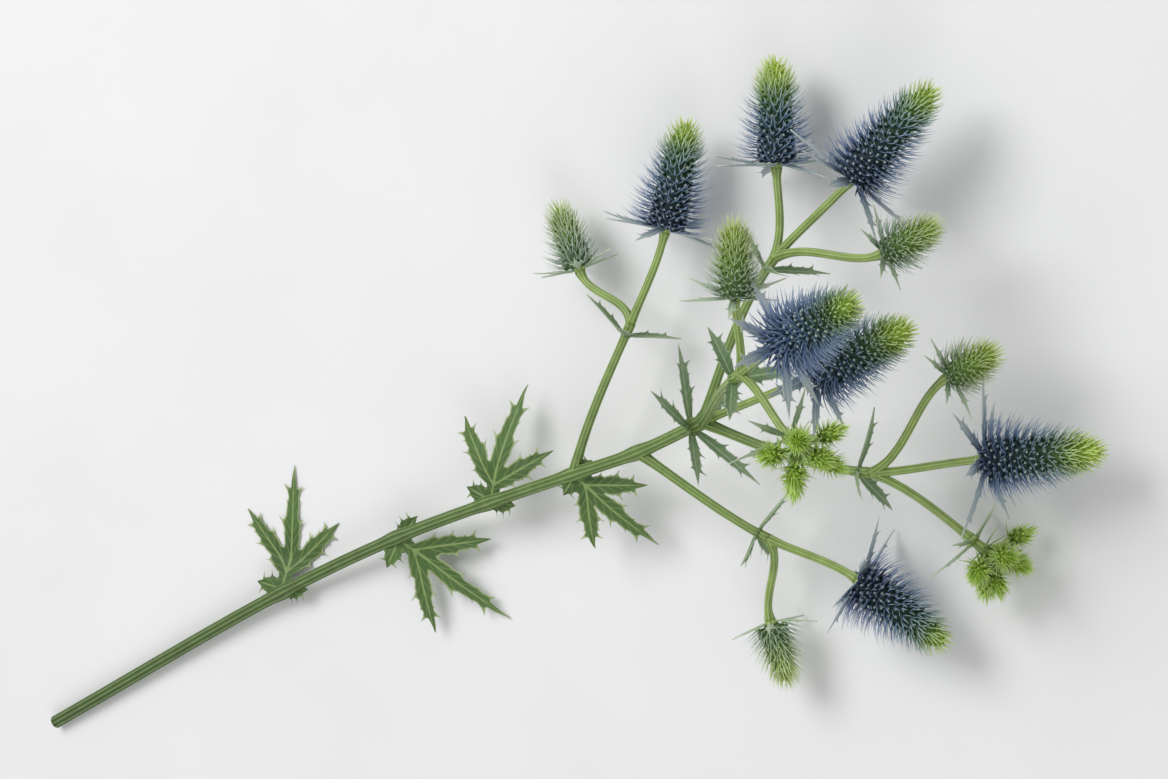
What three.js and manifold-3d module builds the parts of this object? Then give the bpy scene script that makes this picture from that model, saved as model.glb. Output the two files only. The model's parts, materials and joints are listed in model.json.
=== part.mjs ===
// A cut stem of sea holly, lying on a flat surface: a ribbed stalk that forks into side branches, spiny
// three-lobed leaves, a whorl of leaflets below each fork, blue heads with lime-green tips over collars of
// toothed bracts, younger green heads, and lime-green clusters of very small heads.
// Millimetres, +Z up. The cut foot points to -X and the heads to +X. Run by Node 22.
import * as THREE from "three";
import { mergeVertices } from "three/addons/utils/BufferGeometryUtils.js";
import Module from "manifold-3d";

const wasm = await Module();
wasm.setup();

// ---- Driving dimensions ------------------------------------------------------------------------------

const GAP = 0.3; // air between pieces that touch on the plant
const SURFACE_Z = 0; // the flat surface that the stem lies on
const SEAM = 0.03; // detail finer than this goes where solids are joined or cut

// Rods: the radius at both ends, the number of sides and rings, and the depth of the ribs as a share of the
// radius. At each joint the main stalk swells by knotR, and the swelling fades within knotReach.
const STALK = { footR: 2.8, crownR: 2.4, knotR: 0.7, knotReach: 6, sides: 12, rings: 22, rib: 0.07 };
const BRANCH = { footR: 2.0, endR: 1.7, sides: 8, rings: 5, rib: 0.08 };
const PEDUNCLE = { footR: 1.6, endR: 1.5, sides: 6, rings: 3, rib: 0.08 };

// The main stalk runs from its cut foot through its leaf joints to the crown, where it forks.
const JOINTS = {
  foot: [-20, -3, 2.8],
  lowLeaf: [128, 9, 6.5],
  midLeaf: [198, 10, 12],
  highLeaf: [252, 7, 18],
  leftAxil: [300, 3, 26],
  rightAxil: [336, 0, 33],
  crown: [374, 0, 42],
};

// Side branches: where each leaves the stalk, where it forks again, and its direction at both ends.
const FORKS = {
  crown: { at: JOINTS.crown, along: [1, 0, 0.24] },
  left: { from: "crown", leave: [0.72, 0.68, 0.05], at: [430, 48, 40], along: [0.88, 0.47, -0.05] },
  right: { from: "crown", leave: [0.74, -0.66, 0.04], at: [433, -45, 38], along: [0.9, -0.42, -0.06] },
  top: { from: "crown", leave: [0.7, 0.08, 0.72], at: [423, 7, 92], along: [0.84, 0.06, 0.53] },
  lowLeft: { from: "leftAxil", leave: [0.66, 0.74, 0.1], at: [352, 50, 27], along: [0.74, 0.66, -0.08] },
  lowRight: { from: "rightAxil", leave: [0.6, -0.8, 0], at: [374, -53, 27], along: [0.66, -0.74, -0.1] },
};

// Heads: the fork each grows from, the end of its stalk, the way it points, its kind and its size.
const HEADS = [
  { id: "01", fork: "crown", at: [437, -2, 60], aim: [0.99, 0.02, 0.14], kind: "ripe", size: 1.0 },
  { id: "02", fork: "left", at: [471, 64, 34], aim: [0.92, 0.38, -0.04], kind: "ripe", size: 1.02 },
  { id: "03", fork: "left", at: [438, 83, 23], aim: [0.38, 0.92, -0.03], kind: "ripe", size: 0.86 },
  { id: "04", fork: "left", at: [480, 31, 50], aim: [0.98, 0.02, 0.2], kind: "young", size: 0.95 },
  { id: "05", fork: "right", at: [477, -57, 31], aim: [0.95, -0.3, -0.04], kind: "ripe", size: 1.0 },
  { id: "06", fork: "right", at: [484, -23, 46], aim: [0.97, 0.06, 0.22], kind: "young", size: 0.85 },
  { id: "07", fork: "top", at: [455, 9, 113], aim: [0.92, 0.04, 0.38], kind: "ripe", size: 0.94 },
  { id: "08", fork: "top", at: [441, 33, 106], aim: [0.52, 0.8, 0.3], kind: "young", size: 1.1 },
  { id: "09", fork: "lowLeft", at: [380, 79, 22], aim: [0.6, 0.8, -0.02], kind: "ripe", size: 0.92 },
  { id: "10", fork: "lowLeft", at: [334, 80, 18], aim: [0.06, 0.99, 0.02], kind: "young", size: 1.0 },
  { id: "11", fork: "lowRight", at: [402, -82, 22], aim: [0.56, -0.83, -0.02], kind: "ripe", size: 0.9 },
  { id: "12", fork: "lowRight", at: [356, -84, 18], aim: [-0.1, -0.99, 0.02], kind: "young", size: 0.9 },
];
const CLUSTERS = [
  { id: "01", fork: "right", at: [455, -84, 21], aim: [0.5, -0.86, -0.05], count: 8 },
  { id: "02", fork: "top", at: [441, -23, 108], aim: [0.5, -0.74, 0.45], count: 7 },
];

// A ripe head is a slim cone, and its spines grow from short and upright at the tip to long and spread
// at the base. Shares run from 0 at the base of the head to 1 at its tip.
const RIPE = {
  length: 46,
  coreR: 7.2,
  limeFrom: 0.72,
  around: 8,
  rows: 7,
  tipRows: 3,
  floret: 1.1,
  tipFloret: 0.77,
  spineTip: 5,
  spineBase: 15.5,
  leanBase: 16,
  leanTip: 62,
};
const YOUNG = {
  length: 25,
  coreR: 5.6,
  around: 7,
  rows: 4,
  floret: 0.8,
  spineTip: 5,
  spineBase: 8.5,
  leanBase: 26,
  leanTip: 66,
};
// A core narrows by the taper towards its tip, and the roundness closes it there. Its last ring is as wide
// as the core is at topShare, and its point stands topRise above that ring.
const CORE = { taper: 0.36, roundness: 7, topShare: 0.985, topRise: 0.8 };
// A spine sits below and beside the middle of its floret, by shares of a row and of a column. The powers say
// how its lean and its length change up the head.
const SPINE = { radius: 0.72, below: 1 / 3, beside: 1 / 6, leanPower: 0.9, lengthPower: 1.3 };
const ROOT_DEPTH = 1.6; // how far a spine or bract starts inside what it grows from

const COLLAR = { discR: 4.3, footR: 3.1, height: 1.8, sides: 9 };
// Every blade's width follows a sine that starts at the root value and ends at the tip. The first tooth is
// that many tooth spaces out. A tooth leans forward by the point value, and beyond it the blade goes on from
// a notch, narrowed to its waist there. Point and notch are shares of the length.
const BLADE = { root: 0.16, firstTooth: 0.9, point: 0.1, notch: 0.08, waist: 0.75 };
// Blades: half their width, how many teeth on each side, how far a tooth stands out, and the thickness at
// the midrib. A bract's slopes are the least and the most that it rises for each unit outwards.
const RIPE_BRACT = { halfWidth: 1.9, teeth: 1, tooth: 2.3, thickness: 1.2, count: 7, slopes: [-0.3, 0.14] };
const YOUNG_BRACT = { halfWidth: 1.4, teeth: 1, tooth: 1.6, thickness: 1.1, count: 6, slopes: [0, 0.26] };
const CLUSTER_BRACT = { halfWidth: 1.2, teeth: 1, tooth: 1.5, thickness: 1.1, count: 5, slopes: [-0.3, 0] };
const BRACT_LENGTH = { ripe: 25, young: 15, cluster: 19 };
const LEAFLET = { halfWidth: 2.7, teeth: 2, tooth: 2.4, thickness: 1.3, slope: 0.34 };
const LOBE = { halfWidth: 3.6, teeth: 2, tooth: 2.6, thickness: 1.3 };

// The clusters: a round seat, and small heads that fan out from it on short stalks, up to that many degrees
// from the axis. The first one is off the axis by a share of a step.
const CLUSTER = { seatR: 5, seatSides: 8, reach: 14.5, fan: 78, first: 0.35 };
const SMALL_HEAD = { coreR: 3.3, halfLength: 4.6, sides: 6, stalkR: 1.2, stalkSides: 4 };
// Their spines: the leans that they take in turn, and the turn between two, in golden angles.
const SMALL_SPINE = { count: 7, length: 4.6, radius: 0.65, leans: [68, 42, 54], turn: 2.2, turnRange: 0.3 };

// The ring that leaflets grow from: how far it stands out of the stalk, how far below the fork it sits, and
// its lower radius as a share of the upper.
const RING = { out: 1.6, below: 1.5, taper: 0.85, height: 2, sides: 8 };
const WHORLS = [
  { id: "crown", fork: "crown", parent: "stalk", count: 5, length: 27 },
  { id: "left", fork: "left", parent: "branch", count: 3, length: 20 },
  { id: "right", fork: "right", parent: "branch", count: 3, length: 20 },
  { id: "top", fork: "top", parent: "branch", count: 3, length: 18 },
  { id: "low_left", fork: "lowLeft", parent: "branch", count: 3, length: 17 },
  { id: "low_right", fork: "lowRight", parent: "branch", count: 3, length: 17 },
];
// Stem leaves: the undivided palm, the side lobes and where those start are shares of the leaf's length. From
// levelFrom the leaf runs level, and beyond the palm it sinks by the power.
const LEAF = { palm: 0.3, side: 0.62, sideStart: 0.15, sideHeading: 44, levelFrom: 2, sinkPower: 1.5 };
// The joint each leaf clasps, its heading in degrees from +X, its size, and the height of its midrib at its
// middle and tip. The first lies flat on the surface.
const LEAVES = [
  { id: "01", joint: "lowLeaf", heading: 62, length: 56, midZ: 0.2, tipZ: 0.2 },
  { id: "02", joint: "midLeaf", heading: -58, length: 60, midZ: 9, tipZ: 1.2 },
  { id: "03", joint: "highLeaf", heading: 50, length: 52, midZ: 19, tipZ: 9 },
  { id: "04", joint: "leftAxil", heading: -66, length: 44, midZ: 24, tipZ: 13 },
];

// How far what is drawn goes from its mean either way, as a share of it.
const VARY = { spine: 0.08, bract: 0.16, leaflet: 0.15, leafletSlope: 0.3, smallHead: 0.06 };
// The range of a blade's turn, as a share of the step between neighbours.
const TURN_RANGE = { bract: 0.4, leaflet: 0.3 };
const SEEDS = { head: 100, cluster: 300, whorl: 500 };

const COLOURS = {
  stalk: 0x5f7a3c,
  leaf: 0x46602f,
  leaflet: 0x6b8464,
  bract: 0x7f949c,
  blue: 0x55657f,
  lime: 0x93ad52,
  young: 0x8aa653,
  cluster: 0x9ab645,
};

// ---- Small helpers -----------------------------------------------------------------------------------

const vector = (xyz) => new THREE.Vector3(...xyz);
const radians = THREE.MathUtils.degToRad;
const lerp = THREE.MathUtils.lerp;
const GOLDEN = Math.PI * (3 - Math.sqrt(5));

// A factor that is drawn between 1 - vary and 1 + vary.
const about = (vary, draw) => 1 - vary + 2 * vary * draw();

// A repeatable draw between 0 and 1.
function drawsFrom(seed) {
  let state = seed >>> 0;
  return () => {
    state = (state + 0x6d2b79f5) >>> 0;
    let t = Math.imul(state ^ (state >>> 15), state | 1);
    t = (t + Math.imul(t ^ (t >>> 7), t | 61)) ^ t;
    return ((t ^ (t >>> 14)) >>> 0) / 4294967296;
  };
}

// A closed geometry as a solid that can be joined and cut.
function solidOf(geometry) {
  const bare = geometry.clone();
  bare.deleteAttribute("normal");
  bare.deleteAttribute("uv");
  const merged = mergeVertices(bare, 1e-4);
  return new wasm.Manifold(
    new wasm.Mesh({
      numProp: 3,
      vertProperties: new Float32Array(merged.attributes.position.array),
      triVerts: new Uint32Array(merged.index.array),
    }),
  );
}

function geometryOf(solid) {
  const mesh = solid.getMesh();
  return new THREE.BufferGeometry()
    .setAttribute("position", new THREE.BufferAttribute(new Float32Array(mesh.vertProperties), 3))
    .setIndex(new THREE.BufferAttribute(new Uint32Array(mesh.triVerts), 1));
}

// Solids joined into one, without the slivers that a join leaves along its seams.
const joined = (solids) => solids.reduce((all, next) => all.add(next)).asOriginal().simplify(SEAM);

// The largest body of a solid: what a cut leaves loose beside it is dropped.
function largestBody(solid) {
  const bodies = solid.decompose();
  const largest = bodies.reduce((best, next) => (next.volume() > best.volume() ? next : best));
  return largest.asOriginal().simplify(SEAM);
}

// Turns local +Z to the direction, with local +X kept as level as it can be, and moves to the point.
function placement(at, aim) {
  const z = vector(aim).normalize();
  const x = new THREE.Vector3(0, 0, 1).cross(z).normalize();
  const y = new THREE.Vector3().crossVectors(z, x);
  return new THREE.Matrix4().makeBasis(x, y, z).setPosition(vector(at));
}

// What is left of a placed solid above the surface, still in the solid's own coordinates.
function aboveSurface(solid, matrix = new THREE.Matrix4()) {
  const size = 2000; // more than the plant's reach in every direction
  const air = new THREE.BoxGeometry(size, size, size).translate(0, 0, size / 2 + SURFACE_Z);
  return largestBody(solid.intersect(solidOf(air.applyMatrix4(matrix.clone().invert()))));
}

// ---- Stalks ------------------------------------------------------------------------------------------

// A ribbed, tapered rod along a curve: a cylinder whose rings follow the curve.
function rod(curve, form, radiusAt) {
  const g = new THREE.CylinderGeometry(1, 1, 1, form.sides, form.rings);
  const frames = curve.computeFrenetFrames(form.rings, false);
  const p = g.attributes.position;
  for (let i = 0; i < p.count; i++) {
    const ring = Math.round((p.getY(i) + 0.5) * form.rings);
    const share = ring / form.rings;
    const angle = Math.atan2(p.getX(i), p.getZ(i));
    const onRim = Math.hypot(p.getX(i), p.getZ(i));
    const r = onRim * radiusAt(share) * (1 + form.rib * Math.cos((angle * form.sides) / 2));
    const point = curve
      .getPointAt(share)
      .addScaledVector(frames.normals[ring], r * Math.cos(angle))
      .addScaledVector(frames.binormals[ring], r * Math.sin(angle));
    p.setXYZ(i, point.x, point.y, point.z);
  }
  return solidOf(g);
}

// A smooth curve that leaves a along one direction and arrives at b along another.
function arc(a, leave, b, arrive) {
  const pull = a.distanceTo(b) / 3;
  return new THREE.CubicBezierCurve3(
    a,
    a.clone().addScaledVector(vector(leave).normalize(), pull),
    b.clone().addScaledVector(vector(arrive).normalize(), -pull),
    b,
  );
}

const stalkCurve = new THREE.CatmullRomCurve3(Object.values(JOINTS).map(vector), false, "centripetal");

// How thick the main stalk is: tapered, with a knot at each joint.
function stalkRadius(share) {
  const knots = Object.values(JOINTS).slice(1);
  const here = stalkCurve.getPointAt(share);
  const nearest = Math.min(...knots.map((knot) => here.distanceTo(vector(knot))));
  const swelling = STALK.knotR * Math.exp(-((nearest / STALK.knotReach) ** 2));
  return lerp(STALK.footR, STALK.crownR, share) + swelling;
}

const branchCurve = (fork) =>
  arc(vector(JOINTS[fork.from]), fork.leave, vector(fork.at), fork.along);

function peduncleCurve(head) {
  const fork = FORKS[head.fork];
  const start = vector(fork.at);
  const end = vector(head.at).addScaledVector(vector(head.aim).normalize(), -GAP);
  const leave = end.clone().sub(start).normalize().add(vector(fork.along).normalize());
  return arc(start, leave.toArray(), end, head.aim);
}

// The whole stem, or with extra radius the room that its neighbours keep clear of.
function stemSolid(extra) {
  const tapered = (form) => (share) => lerp(form.footR, form.endR, share) + extra;
  const branches = Object.values(FORKS).filter((fork) => fork.from);
  return joined([
    rod(stalkCurve, STALK, (share) => stalkRadius(share) + extra),
    ...branches.map((fork) => rod(branchCurve(fork), BRANCH, tapered(BRANCH))),
    ...[...HEADS, ...CLUSTERS].map((head) => rod(peduncleCurve(head), PEDUNCLE, tapered(PEDUNCLE))),
  ]);
}

// ---- Heads -------------------------------------------------------------------------------------------

// The core's radius: a cone with a round top.
const coreRadius = (form, share) =>
  form.coreR * (1 - CORE.taper * share) * Math.sqrt(1 - share ** CORE.roundness);

// A core whose surface is a lattice of diamonds, each raised to a blunt point in its middle as a floret.
// It runs from share a to share b of the form's length.
function floretCore(form, a, b, rows, around, floret) {
  const points = [];
  const faces = [];
  const angle = (row, i) => ((i + (row % 2) / 2) * 2 * Math.PI) / around;
  const shareOf = (row) => lerp(a, b, row / rows);
  const put = (share, turn, raise) => {
    const r = coreRadius(form, Math.min(share, CORE.topShare)) + raise;
    points.push([r * Math.cos(turn), r * Math.sin(turn), share * form.length]);
    return points.length - 1;
  };
  const ring = [];
  for (let row = 0; row <= rows; row++)
    ring.push(Array.from({ length: around }, (_, i) => put(shareOf(row), angle(row, i), 0)));
  // The vertex of a ring at the same angle as column i of the ring's neighbour, and the one after it.
  const before = (row, i) => ring[row][(i + around - 1 + (row % 2 === 0 ? 1 : 0)) % around];
  const after = (row, i) => ring[row][(i + (row % 2 === 0 ? 1 : 0)) % around];
  for (let row = 0; row <= rows; row++)
    for (let i = 0; i < around; i++) {
      const left = before(row, i);
      const right = after(row, i);
      const below = row > 0 ? ring[row - 1][i] : null;
      const above = row < rows ? ring[row + 1][i] : null;
      if (below === null) faces.push([left, right, above]);
      else if (above === null) faces.push([right, left, below]);
      else {
        const middle = put(shareOf(row), angle(row - 1, i), floret);
        faces.push([middle, below, right], [middle, right, above]);
        faces.push([middle, above, left], [middle, left, below]);
      }
    }
  points.push([0, 0, a * form.length], [0, 0, b * form.length + (b === 1 ? CORE.topRise : 0)]);
  for (let i = 0; i < around; i++) {
    const next = (i + 1) % around;
    faces.push([points.length - 2, ring[0][next], ring[0][i]]);
    faces.push([points.length - 1, ring[rows][i], ring[rows][next]]);
  }
  const g = new THREE.BufferGeometry();
  g.setAttribute("position", new THREE.Float32BufferAttribute(points.flat(), 3));
  g.setIndex(faces.flat());
  return solidOf(g);
}

// A three-sided spine with its root at a point, leaning out from the local Z axis.
function spine(root, direction, length, radius) {
  const g = new THREE.ConeGeometry(radius, length + ROOT_DEPTH, 3);
  g.translate(0, (length + ROOT_DEPTH) / 2 - ROOT_DEPTH, 0);
  const turn = new THREE.Quaternion().setFromUnitVectors(new THREE.Vector3(0, 1, 0), direction);
  return solidOf(g.applyQuaternion(turn).translate(root.x, root.y, root.z));
}

// A spine below each floret of the lattice, on the facet of its diamond that faces down and to one side.
function spinesOn(form, a, b, rows, around, draw) {
  const spines = [];
  for (let row = 1; row < rows; row++)
    for (let i = 0; i < around; i++) {
      const share = lerp(a, b, (row - SPINE.below) / rows);
      const turn = ((i + ((row - 1) % 2) / 2 + SPINE.beside) * 2 * Math.PI) / around;
      const lean = radians(lerp(form.leanBase, form.leanTip, share ** SPINE.leanPower));
      const length = lerp(form.spineTip, form.spineBase, (1 - share) ** SPINE.lengthPower);
      const out = new THREE.Vector3(Math.cos(turn), Math.sin(turn), 0);
      const root = out.clone().multiplyScalar(coreRadius(form, share)).setZ(share * form.length);
      const direction = out.multiplyScalar(Math.cos(lean)).setZ(Math.sin(lean));
      spines.push(spine(root, direction, length * about(VARY.spine, draw), SPINE.radius));
    }
  return spines;
}

const scaledForm = (form, size) => ({
  ...form,
  length: form.length * size,
  coreR: form.coreR * Math.sqrt(size),
});

function ripeBody(form, draw) {
  const lattice = [form, 0, form.limeFrom, form.rows, form.around];
  return joined([floretCore(...lattice, form.floret), ...spinesOn(...lattice, draw)]);
}

// The spine that ends a head.
const topSpine = (form) =>
  spine(new THREE.Vector3(0, 0, form.length), new THREE.Vector3(0, 0, 1), form.spineTip, SPINE.radius);

function limeTip(form, draw) {
  const lattice = [form, form.limeFrom + GAP / form.length, 1, form.tipRows, form.around - 1];
  return joined([floretCore(...lattice, form.tipFloret), ...spinesOn(...lattice, draw), topSpine(form)]);
}

function youngHead(form, draw) {
  const lattice = [form, 0, 1, form.rows, form.around];
  return joined([floretCore(...lattice, form.floret), ...spinesOn(...lattice, draw), topSpine(form)]);
}

// ---- Blades: bracts, leaflets and leaves ---------------------------------------------------------------

// A lance-shaped blade from the origin along +X, with teeth on both sides. It is thickest along its midrib
// and sharp at its edges, and a height formula lifts both of its faces alike.
function blade(length, form, heightAt) {
  const points = [];
  const faces = [];
  // A point of the blade as its numbers on the upper and the lower face. At an edge they are the same.
  const put = (x, y, halfThick) => {
    const z = heightAt(x, y);
    points.push([x, y, z + halfThick]);
    if (halfThick > 0) points.push([x, y, z - halfThick]);
    return [points.length - (halfThick > 0 ? 2 : 1), points.length - 1];
  };
  const width = (share) => form.halfWidth * Math.sin(Math.PI * (BLADE.root + (1 - BLADE.root) * share));
  const shareOf = (tooth) => (tooth + BLADE.firstTooth) / (form.teeth + BLADE.firstTooth);
  const root = put(0, 0, form.thickness / 2);
  const ribs = Array.from({ length: form.teeth }, (_, k) =>
    put(shareOf(k) * length, 0, form.thickness / 2),
  );
  const tip = put(length, 0, 0);
  const corners = [];
  for (const side of [1, -1]) {
    const face = (p, q, r) => {
      const [a, b, c] = side > 0 ? [p, r, q] : [p, q, r];
      faces.push([a[0], b[0], c[0]], [a[1], c[1], b[1]]);
    };
    let edge = put(0, side * width(0), 0);
    let rib = root;
    corners.push(edge);
    ribs.forEach((nextRib, k) => {
      const share = shareOf(k);
      const before = put(share * length, side * width(share), 0);
      const notch = share + BLADE.notch;
      const point = put((share + BLADE.point) * length, side * (width(share) + form.tooth), 0);
      const after = put(notch * length, side * BLADE.waist * width(notch), 0);
      face(rib, edge, before);
      face(rib, before, nextRib);
      face(nextRib, before, point);
      face(nextRib, point, after);
      [edge, rib] = [after, nextRib];
    });
    face(rib, edge, tip);
  }
  const [left, right] = corners;
  faces.push([root[0], left[0], root[1]], [root[0], root[1], right[0]]);
  const g = new THREE.BufferGeometry();
  g.setAttribute("position", new THREE.Float32BufferAttribute(points.flat(), 3));
  return g.setIndex(faces.flat());
}

// Blades that spread from inside a round seat: count, root radius, the range of their turns, and a function
// for each one's length and height.
function fan(count, rootR, form, turnRange, draw, shapeOf) {
  return Array.from({ length: count }, (_, i) => {
    const { length, heightAt } = shapeOf();
    const g = blade(length, form, heightAt).translate(rootR, 0, 0);
    return solidOf(g.rotateZ(((i + turnRange * (draw() - 0.5)) * 2 * Math.PI) / count));
  });
}

// The collar below a head: a small disc with bracts that spread from its rim.
function collar(bract, meanLength, draw) {
  const disc = new THREE.CylinderGeometry(COLLAR.discR, COLLAR.footR, COLLAR.height, COLLAR.sides)
    .rotateX(Math.PI / 2)
    .translate(0, 0, COLLAR.height / 2);
  const bracts = fan(bract.count, COLLAR.discR - ROOT_DEPTH, bract, TURN_RANGE.bract, draw, () => {
    const slope = lerp(...bract.slopes, draw());
    return {
      length: meanLength * about(VARY.bract, draw) + ROOT_DEPTH,
      heightAt: (x) => COLLAR.height / 2 + slope * Math.max(0, x - ROOT_DEPTH),
    };
  });
  return joined([solidOf(disc), ...bracts]);
}

// A very small head that stands on its stalk in a direction from the middle of a cluster's seat: its stalk,
// its egg-shaped core and its spines.
function smallHead(seat, out, draw) {
  const { coreR, halfLength, sides, stalkR, stalkSides } = SMALL_HEAD;
  const reach = CLUSTER.reach * about(VARY.smallHead, draw);
  const spread = new THREE.Quaternion().setFromUnitVectors(new THREE.Vector3(0, 1, 0), out);
  const stalk = new THREE.CylinderGeometry(stalkR, stalkR, reach, stalkSides).translate(0, reach / 2, 0);
  const core = new THREE.SphereGeometry(1, sides, sides / 2)
    .scale(coreR, halfLength, coreR)
    .translate(0, reach, 0);
  const spines = Array.from({ length: SMALL_SPINE.count }, (_, i) => {
    const lean = radians(SMALL_SPINE.leans[i % SMALL_SPINE.leans.length]);
    const turn = GOLDEN * i * SMALL_SPINE.turn + draw() * SMALL_SPINE.turnRange;
    const direction = new THREE.Vector3(
      Math.cos(lean) * Math.cos(turn),
      Math.sin(lean),
      Math.cos(lean) * Math.sin(turn),
    );
    const root = direction.clone().multiply(new THREE.Vector3(coreR, halfLength, coreR));
    root.applyQuaternion(spread).add(seat).addScaledVector(out, reach);
    return spine(root, direction.applyQuaternion(spread), SMALL_SPINE.length, SMALL_SPINE.radius);
  });
  const placed = (g) => solidOf(g.applyQuaternion(spread).translate(seat.x, seat.y, seat.z));
  return [placed(stalk), placed(core), ...spines];
}

// A cluster: very small heads that fan out from one seat.
function cluster(count, draw) {
  const { seatR, seatSides } = CLUSTER;
  const seat = new THREE.Vector3(0, 0, seatR);
  const ball = new THREE.SphereGeometry(seatR, seatSides, seatSides / 2).translate(0, 0, seatR);
  const heads = Array.from({ length: count }, (_, k) => {
    const tilt = radians(CLUSTER.fan) * Math.sqrt((k + CLUSTER.first) / count);
    const turn = GOLDEN * k;
    const across = new THREE.Vector3(Math.cos(turn), Math.sin(turn), 0);
    return smallHead(seat, across.multiplyScalar(Math.sin(tilt)).setZ(Math.cos(tilt)), draw);
  });
  return joined([solidOf(ball), ...heads.flat()]);
}

// Leaflets that spread from a ring round a stalk, just below a fork.
function whorl(count, meanLength, ringR, draw) {
  const ring = new THREE.CylinderGeometry(ringR, ringR * RING.taper, RING.height, RING.sides);
  const leaflets = fan(count, ringR - ROOT_DEPTH, LEAFLET, TURN_RANGE.leaflet, draw, () => {
    const slope = LEAFLET.slope * about(VARY.leafletSlope, draw);
    return {
      length: meanLength * about(VARY.leaflet, draw) + ROOT_DEPTH,
      heightAt: (x) => slope * Math.max(0, x - ROOT_DEPTH),
    };
  });
  return joined([solidOf(ring.rotateX(Math.PI / 2)), ...leaflets]);
}

// A three-lobed leaf that leaves the stalk at the given height, runs level and sinks to its tip.
function stemLeaf(leaf) {
  const [, , startZ] = JOINTS[leaf.joint];
  const palm = leaf.length * LEAF.palm;
  const sink = (x) => {
    const near = THREE.MathUtils.smoothstep(x, LEAF.levelFrom, palm);
    const far = THREE.MathUtils.clamp((x - palm) / (leaf.length - palm), 0, 1);
    return lerp(lerp(startZ, leaf.midZ, near), leaf.tipZ, far ** LEAF.sinkPower);
  };
  const lobe = (length, start, heading) => {
    const turn = new THREE.Matrix4().makeRotationZ(radians(heading)).setPosition(start, 0, 0);
    const flat = blade(length, LOBE, () => 0).applyMatrix4(turn);
    const p = flat.attributes.position;
    for (let i = 0; i < p.count; i++) p.setZ(i, p.getZ(i) + sink(p.getX(i)));
    return solidOf(flat);
  };
  const sideLobes = [1, -1].map((side) =>
    lobe(leaf.length * LEAF.side, leaf.length * LEAF.sideStart, side * LEAF.sideHeading),
  );
  return joined([lobe(leaf.length, 0, 0), ...sideLobes]);
}

// ---- The object --------------------------------------------------------------------------------------

const plant = new THREE.Group();

function addNode(name, solid, colour, matrix = new THREE.Matrix4()) {
  const material = new THREE.MeshStandardMaterial({ color: colour, roughness: 0.6, metalness: 0 });
  const mesh = new THREE.Mesh(geometryOf(solid), material);
  mesh.name = name;
  mesh.applyMatrix4(matrix);
  plant.add(mesh);
}

const room = stemSolid(GAP); // the stem and the air next to it
const ontoCollar = new THREE.Matrix4().makeTranslation(0, 0, COLLAR.height + GAP);

addNode("stem", aboveSurface(stemSolid(0)), COLOURS.stalk);

HEADS.forEach((head, order) => {
  const draw = drawsFrom(SEEDS.head + order);
  const matrix = placement(head.at, head.aim);
  const lifted = matrix.clone().multiply(ontoCollar);
  const form = scaledForm(head.kind === "ripe" ? RIPE : YOUNG, head.size);
  const bract = head.kind === "ripe" ? RIPE_BRACT : YOUNG_BRACT;
  const bracts = aboveSurface(collar(bract, BRACT_LENGTH[head.kind] * head.size, draw), matrix);
  addNode("collar_" + head.id, bracts, COLOURS.bract, matrix);
  if (head.kind === "ripe") {
    addNode("head_" + head.id, aboveSurface(ripeBody(form, draw), lifted), COLOURS.blue, lifted);
    addNode("head_" + head.id + "_tip", aboveSurface(limeTip(form, draw), lifted), COLOURS.lime, lifted);
  } else {
    addNode("head_" + head.id, aboveSurface(youngHead(form, draw), lifted), COLOURS.young, lifted);
  }
});

CLUSTERS.forEach((group, order) => {
  const draw = drawsFrom(SEEDS.cluster + order);
  const matrix = placement(group.at, group.aim);
  const lifted = matrix.clone().multiply(ontoCollar);
  const bracts = aboveSurface(collar(CLUSTER_BRACT, BRACT_LENGTH.cluster, draw), matrix);
  addNode("cluster_collar_" + group.id, bracts, COLOURS.bract, matrix);
  addNode("cluster_" + group.id, aboveSurface(cluster(group.count, draw), lifted), COLOURS.cluster, lifted);
});

WHORLS.forEach((item, order) => {
  const draw = drawsFrom(SEEDS.whorl + order);
  const fork = FORKS[item.fork];
  const ringR = (item.parent === "stalk" ? STALK.crownR + STALK.knotR : BRANCH.endR) + RING.out;
  const back = vector(fork.along).normalize().multiplyScalar(-(ringR + RING.below));
  const matrix = placement(vector(fork.at).add(back).toArray(), fork.along);
  const placed = whorl(item.count, item.length, ringR, draw).transform(matrix.toArray());
  addNode("whorl_" + item.id, aboveSurface(placed.subtract(room)), COLOURS.leaflet);
});

for (const leaf of LEAVES) {
  const [x, y] = JOINTS[leaf.joint];
  const matrix = new THREE.Matrix4().makeRotationZ(radians(leaf.heading)).setPosition(x, y, 0);
  const placed = stemLeaf(leaf).transform(matrix.toArray()).subtract(room);
  addNode("leaf_" + leaf.id, aboveSurface(placed), COLOURS.leaf);
}

// The origin is the middle of the footprint, on the surface.
const box = new THREE.Box3().setFromObject(plant, true);
plant.position.set(-(box.min.x + box.max.x) / 2, -(box.min.y + box.max.y) / 2, -box.min.z);

const seaHollyStem = new THREE.Group();
seaHollyStem.add(plant);
export default seaHollyStem;
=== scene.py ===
"""A cut stem of sea holly, lying on a pale surface.

The packed solids give every piece its place and size. This script repeats their layout, in millimetres,
and grows the fine surface of each piece there: the ribbed stalk, the toothed leaves, leaflets and bracts,
and on every head a spiral of florets, each with its bud, its sepals and the spiny bracteole below it.
"""

import json
import math
from collections import namedtuple
from types import SimpleNamespace as Form

import bpy
import numpy as np
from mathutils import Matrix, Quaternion, Vector
from mathutils.geometry import delaunay_2d_cdt

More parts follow.
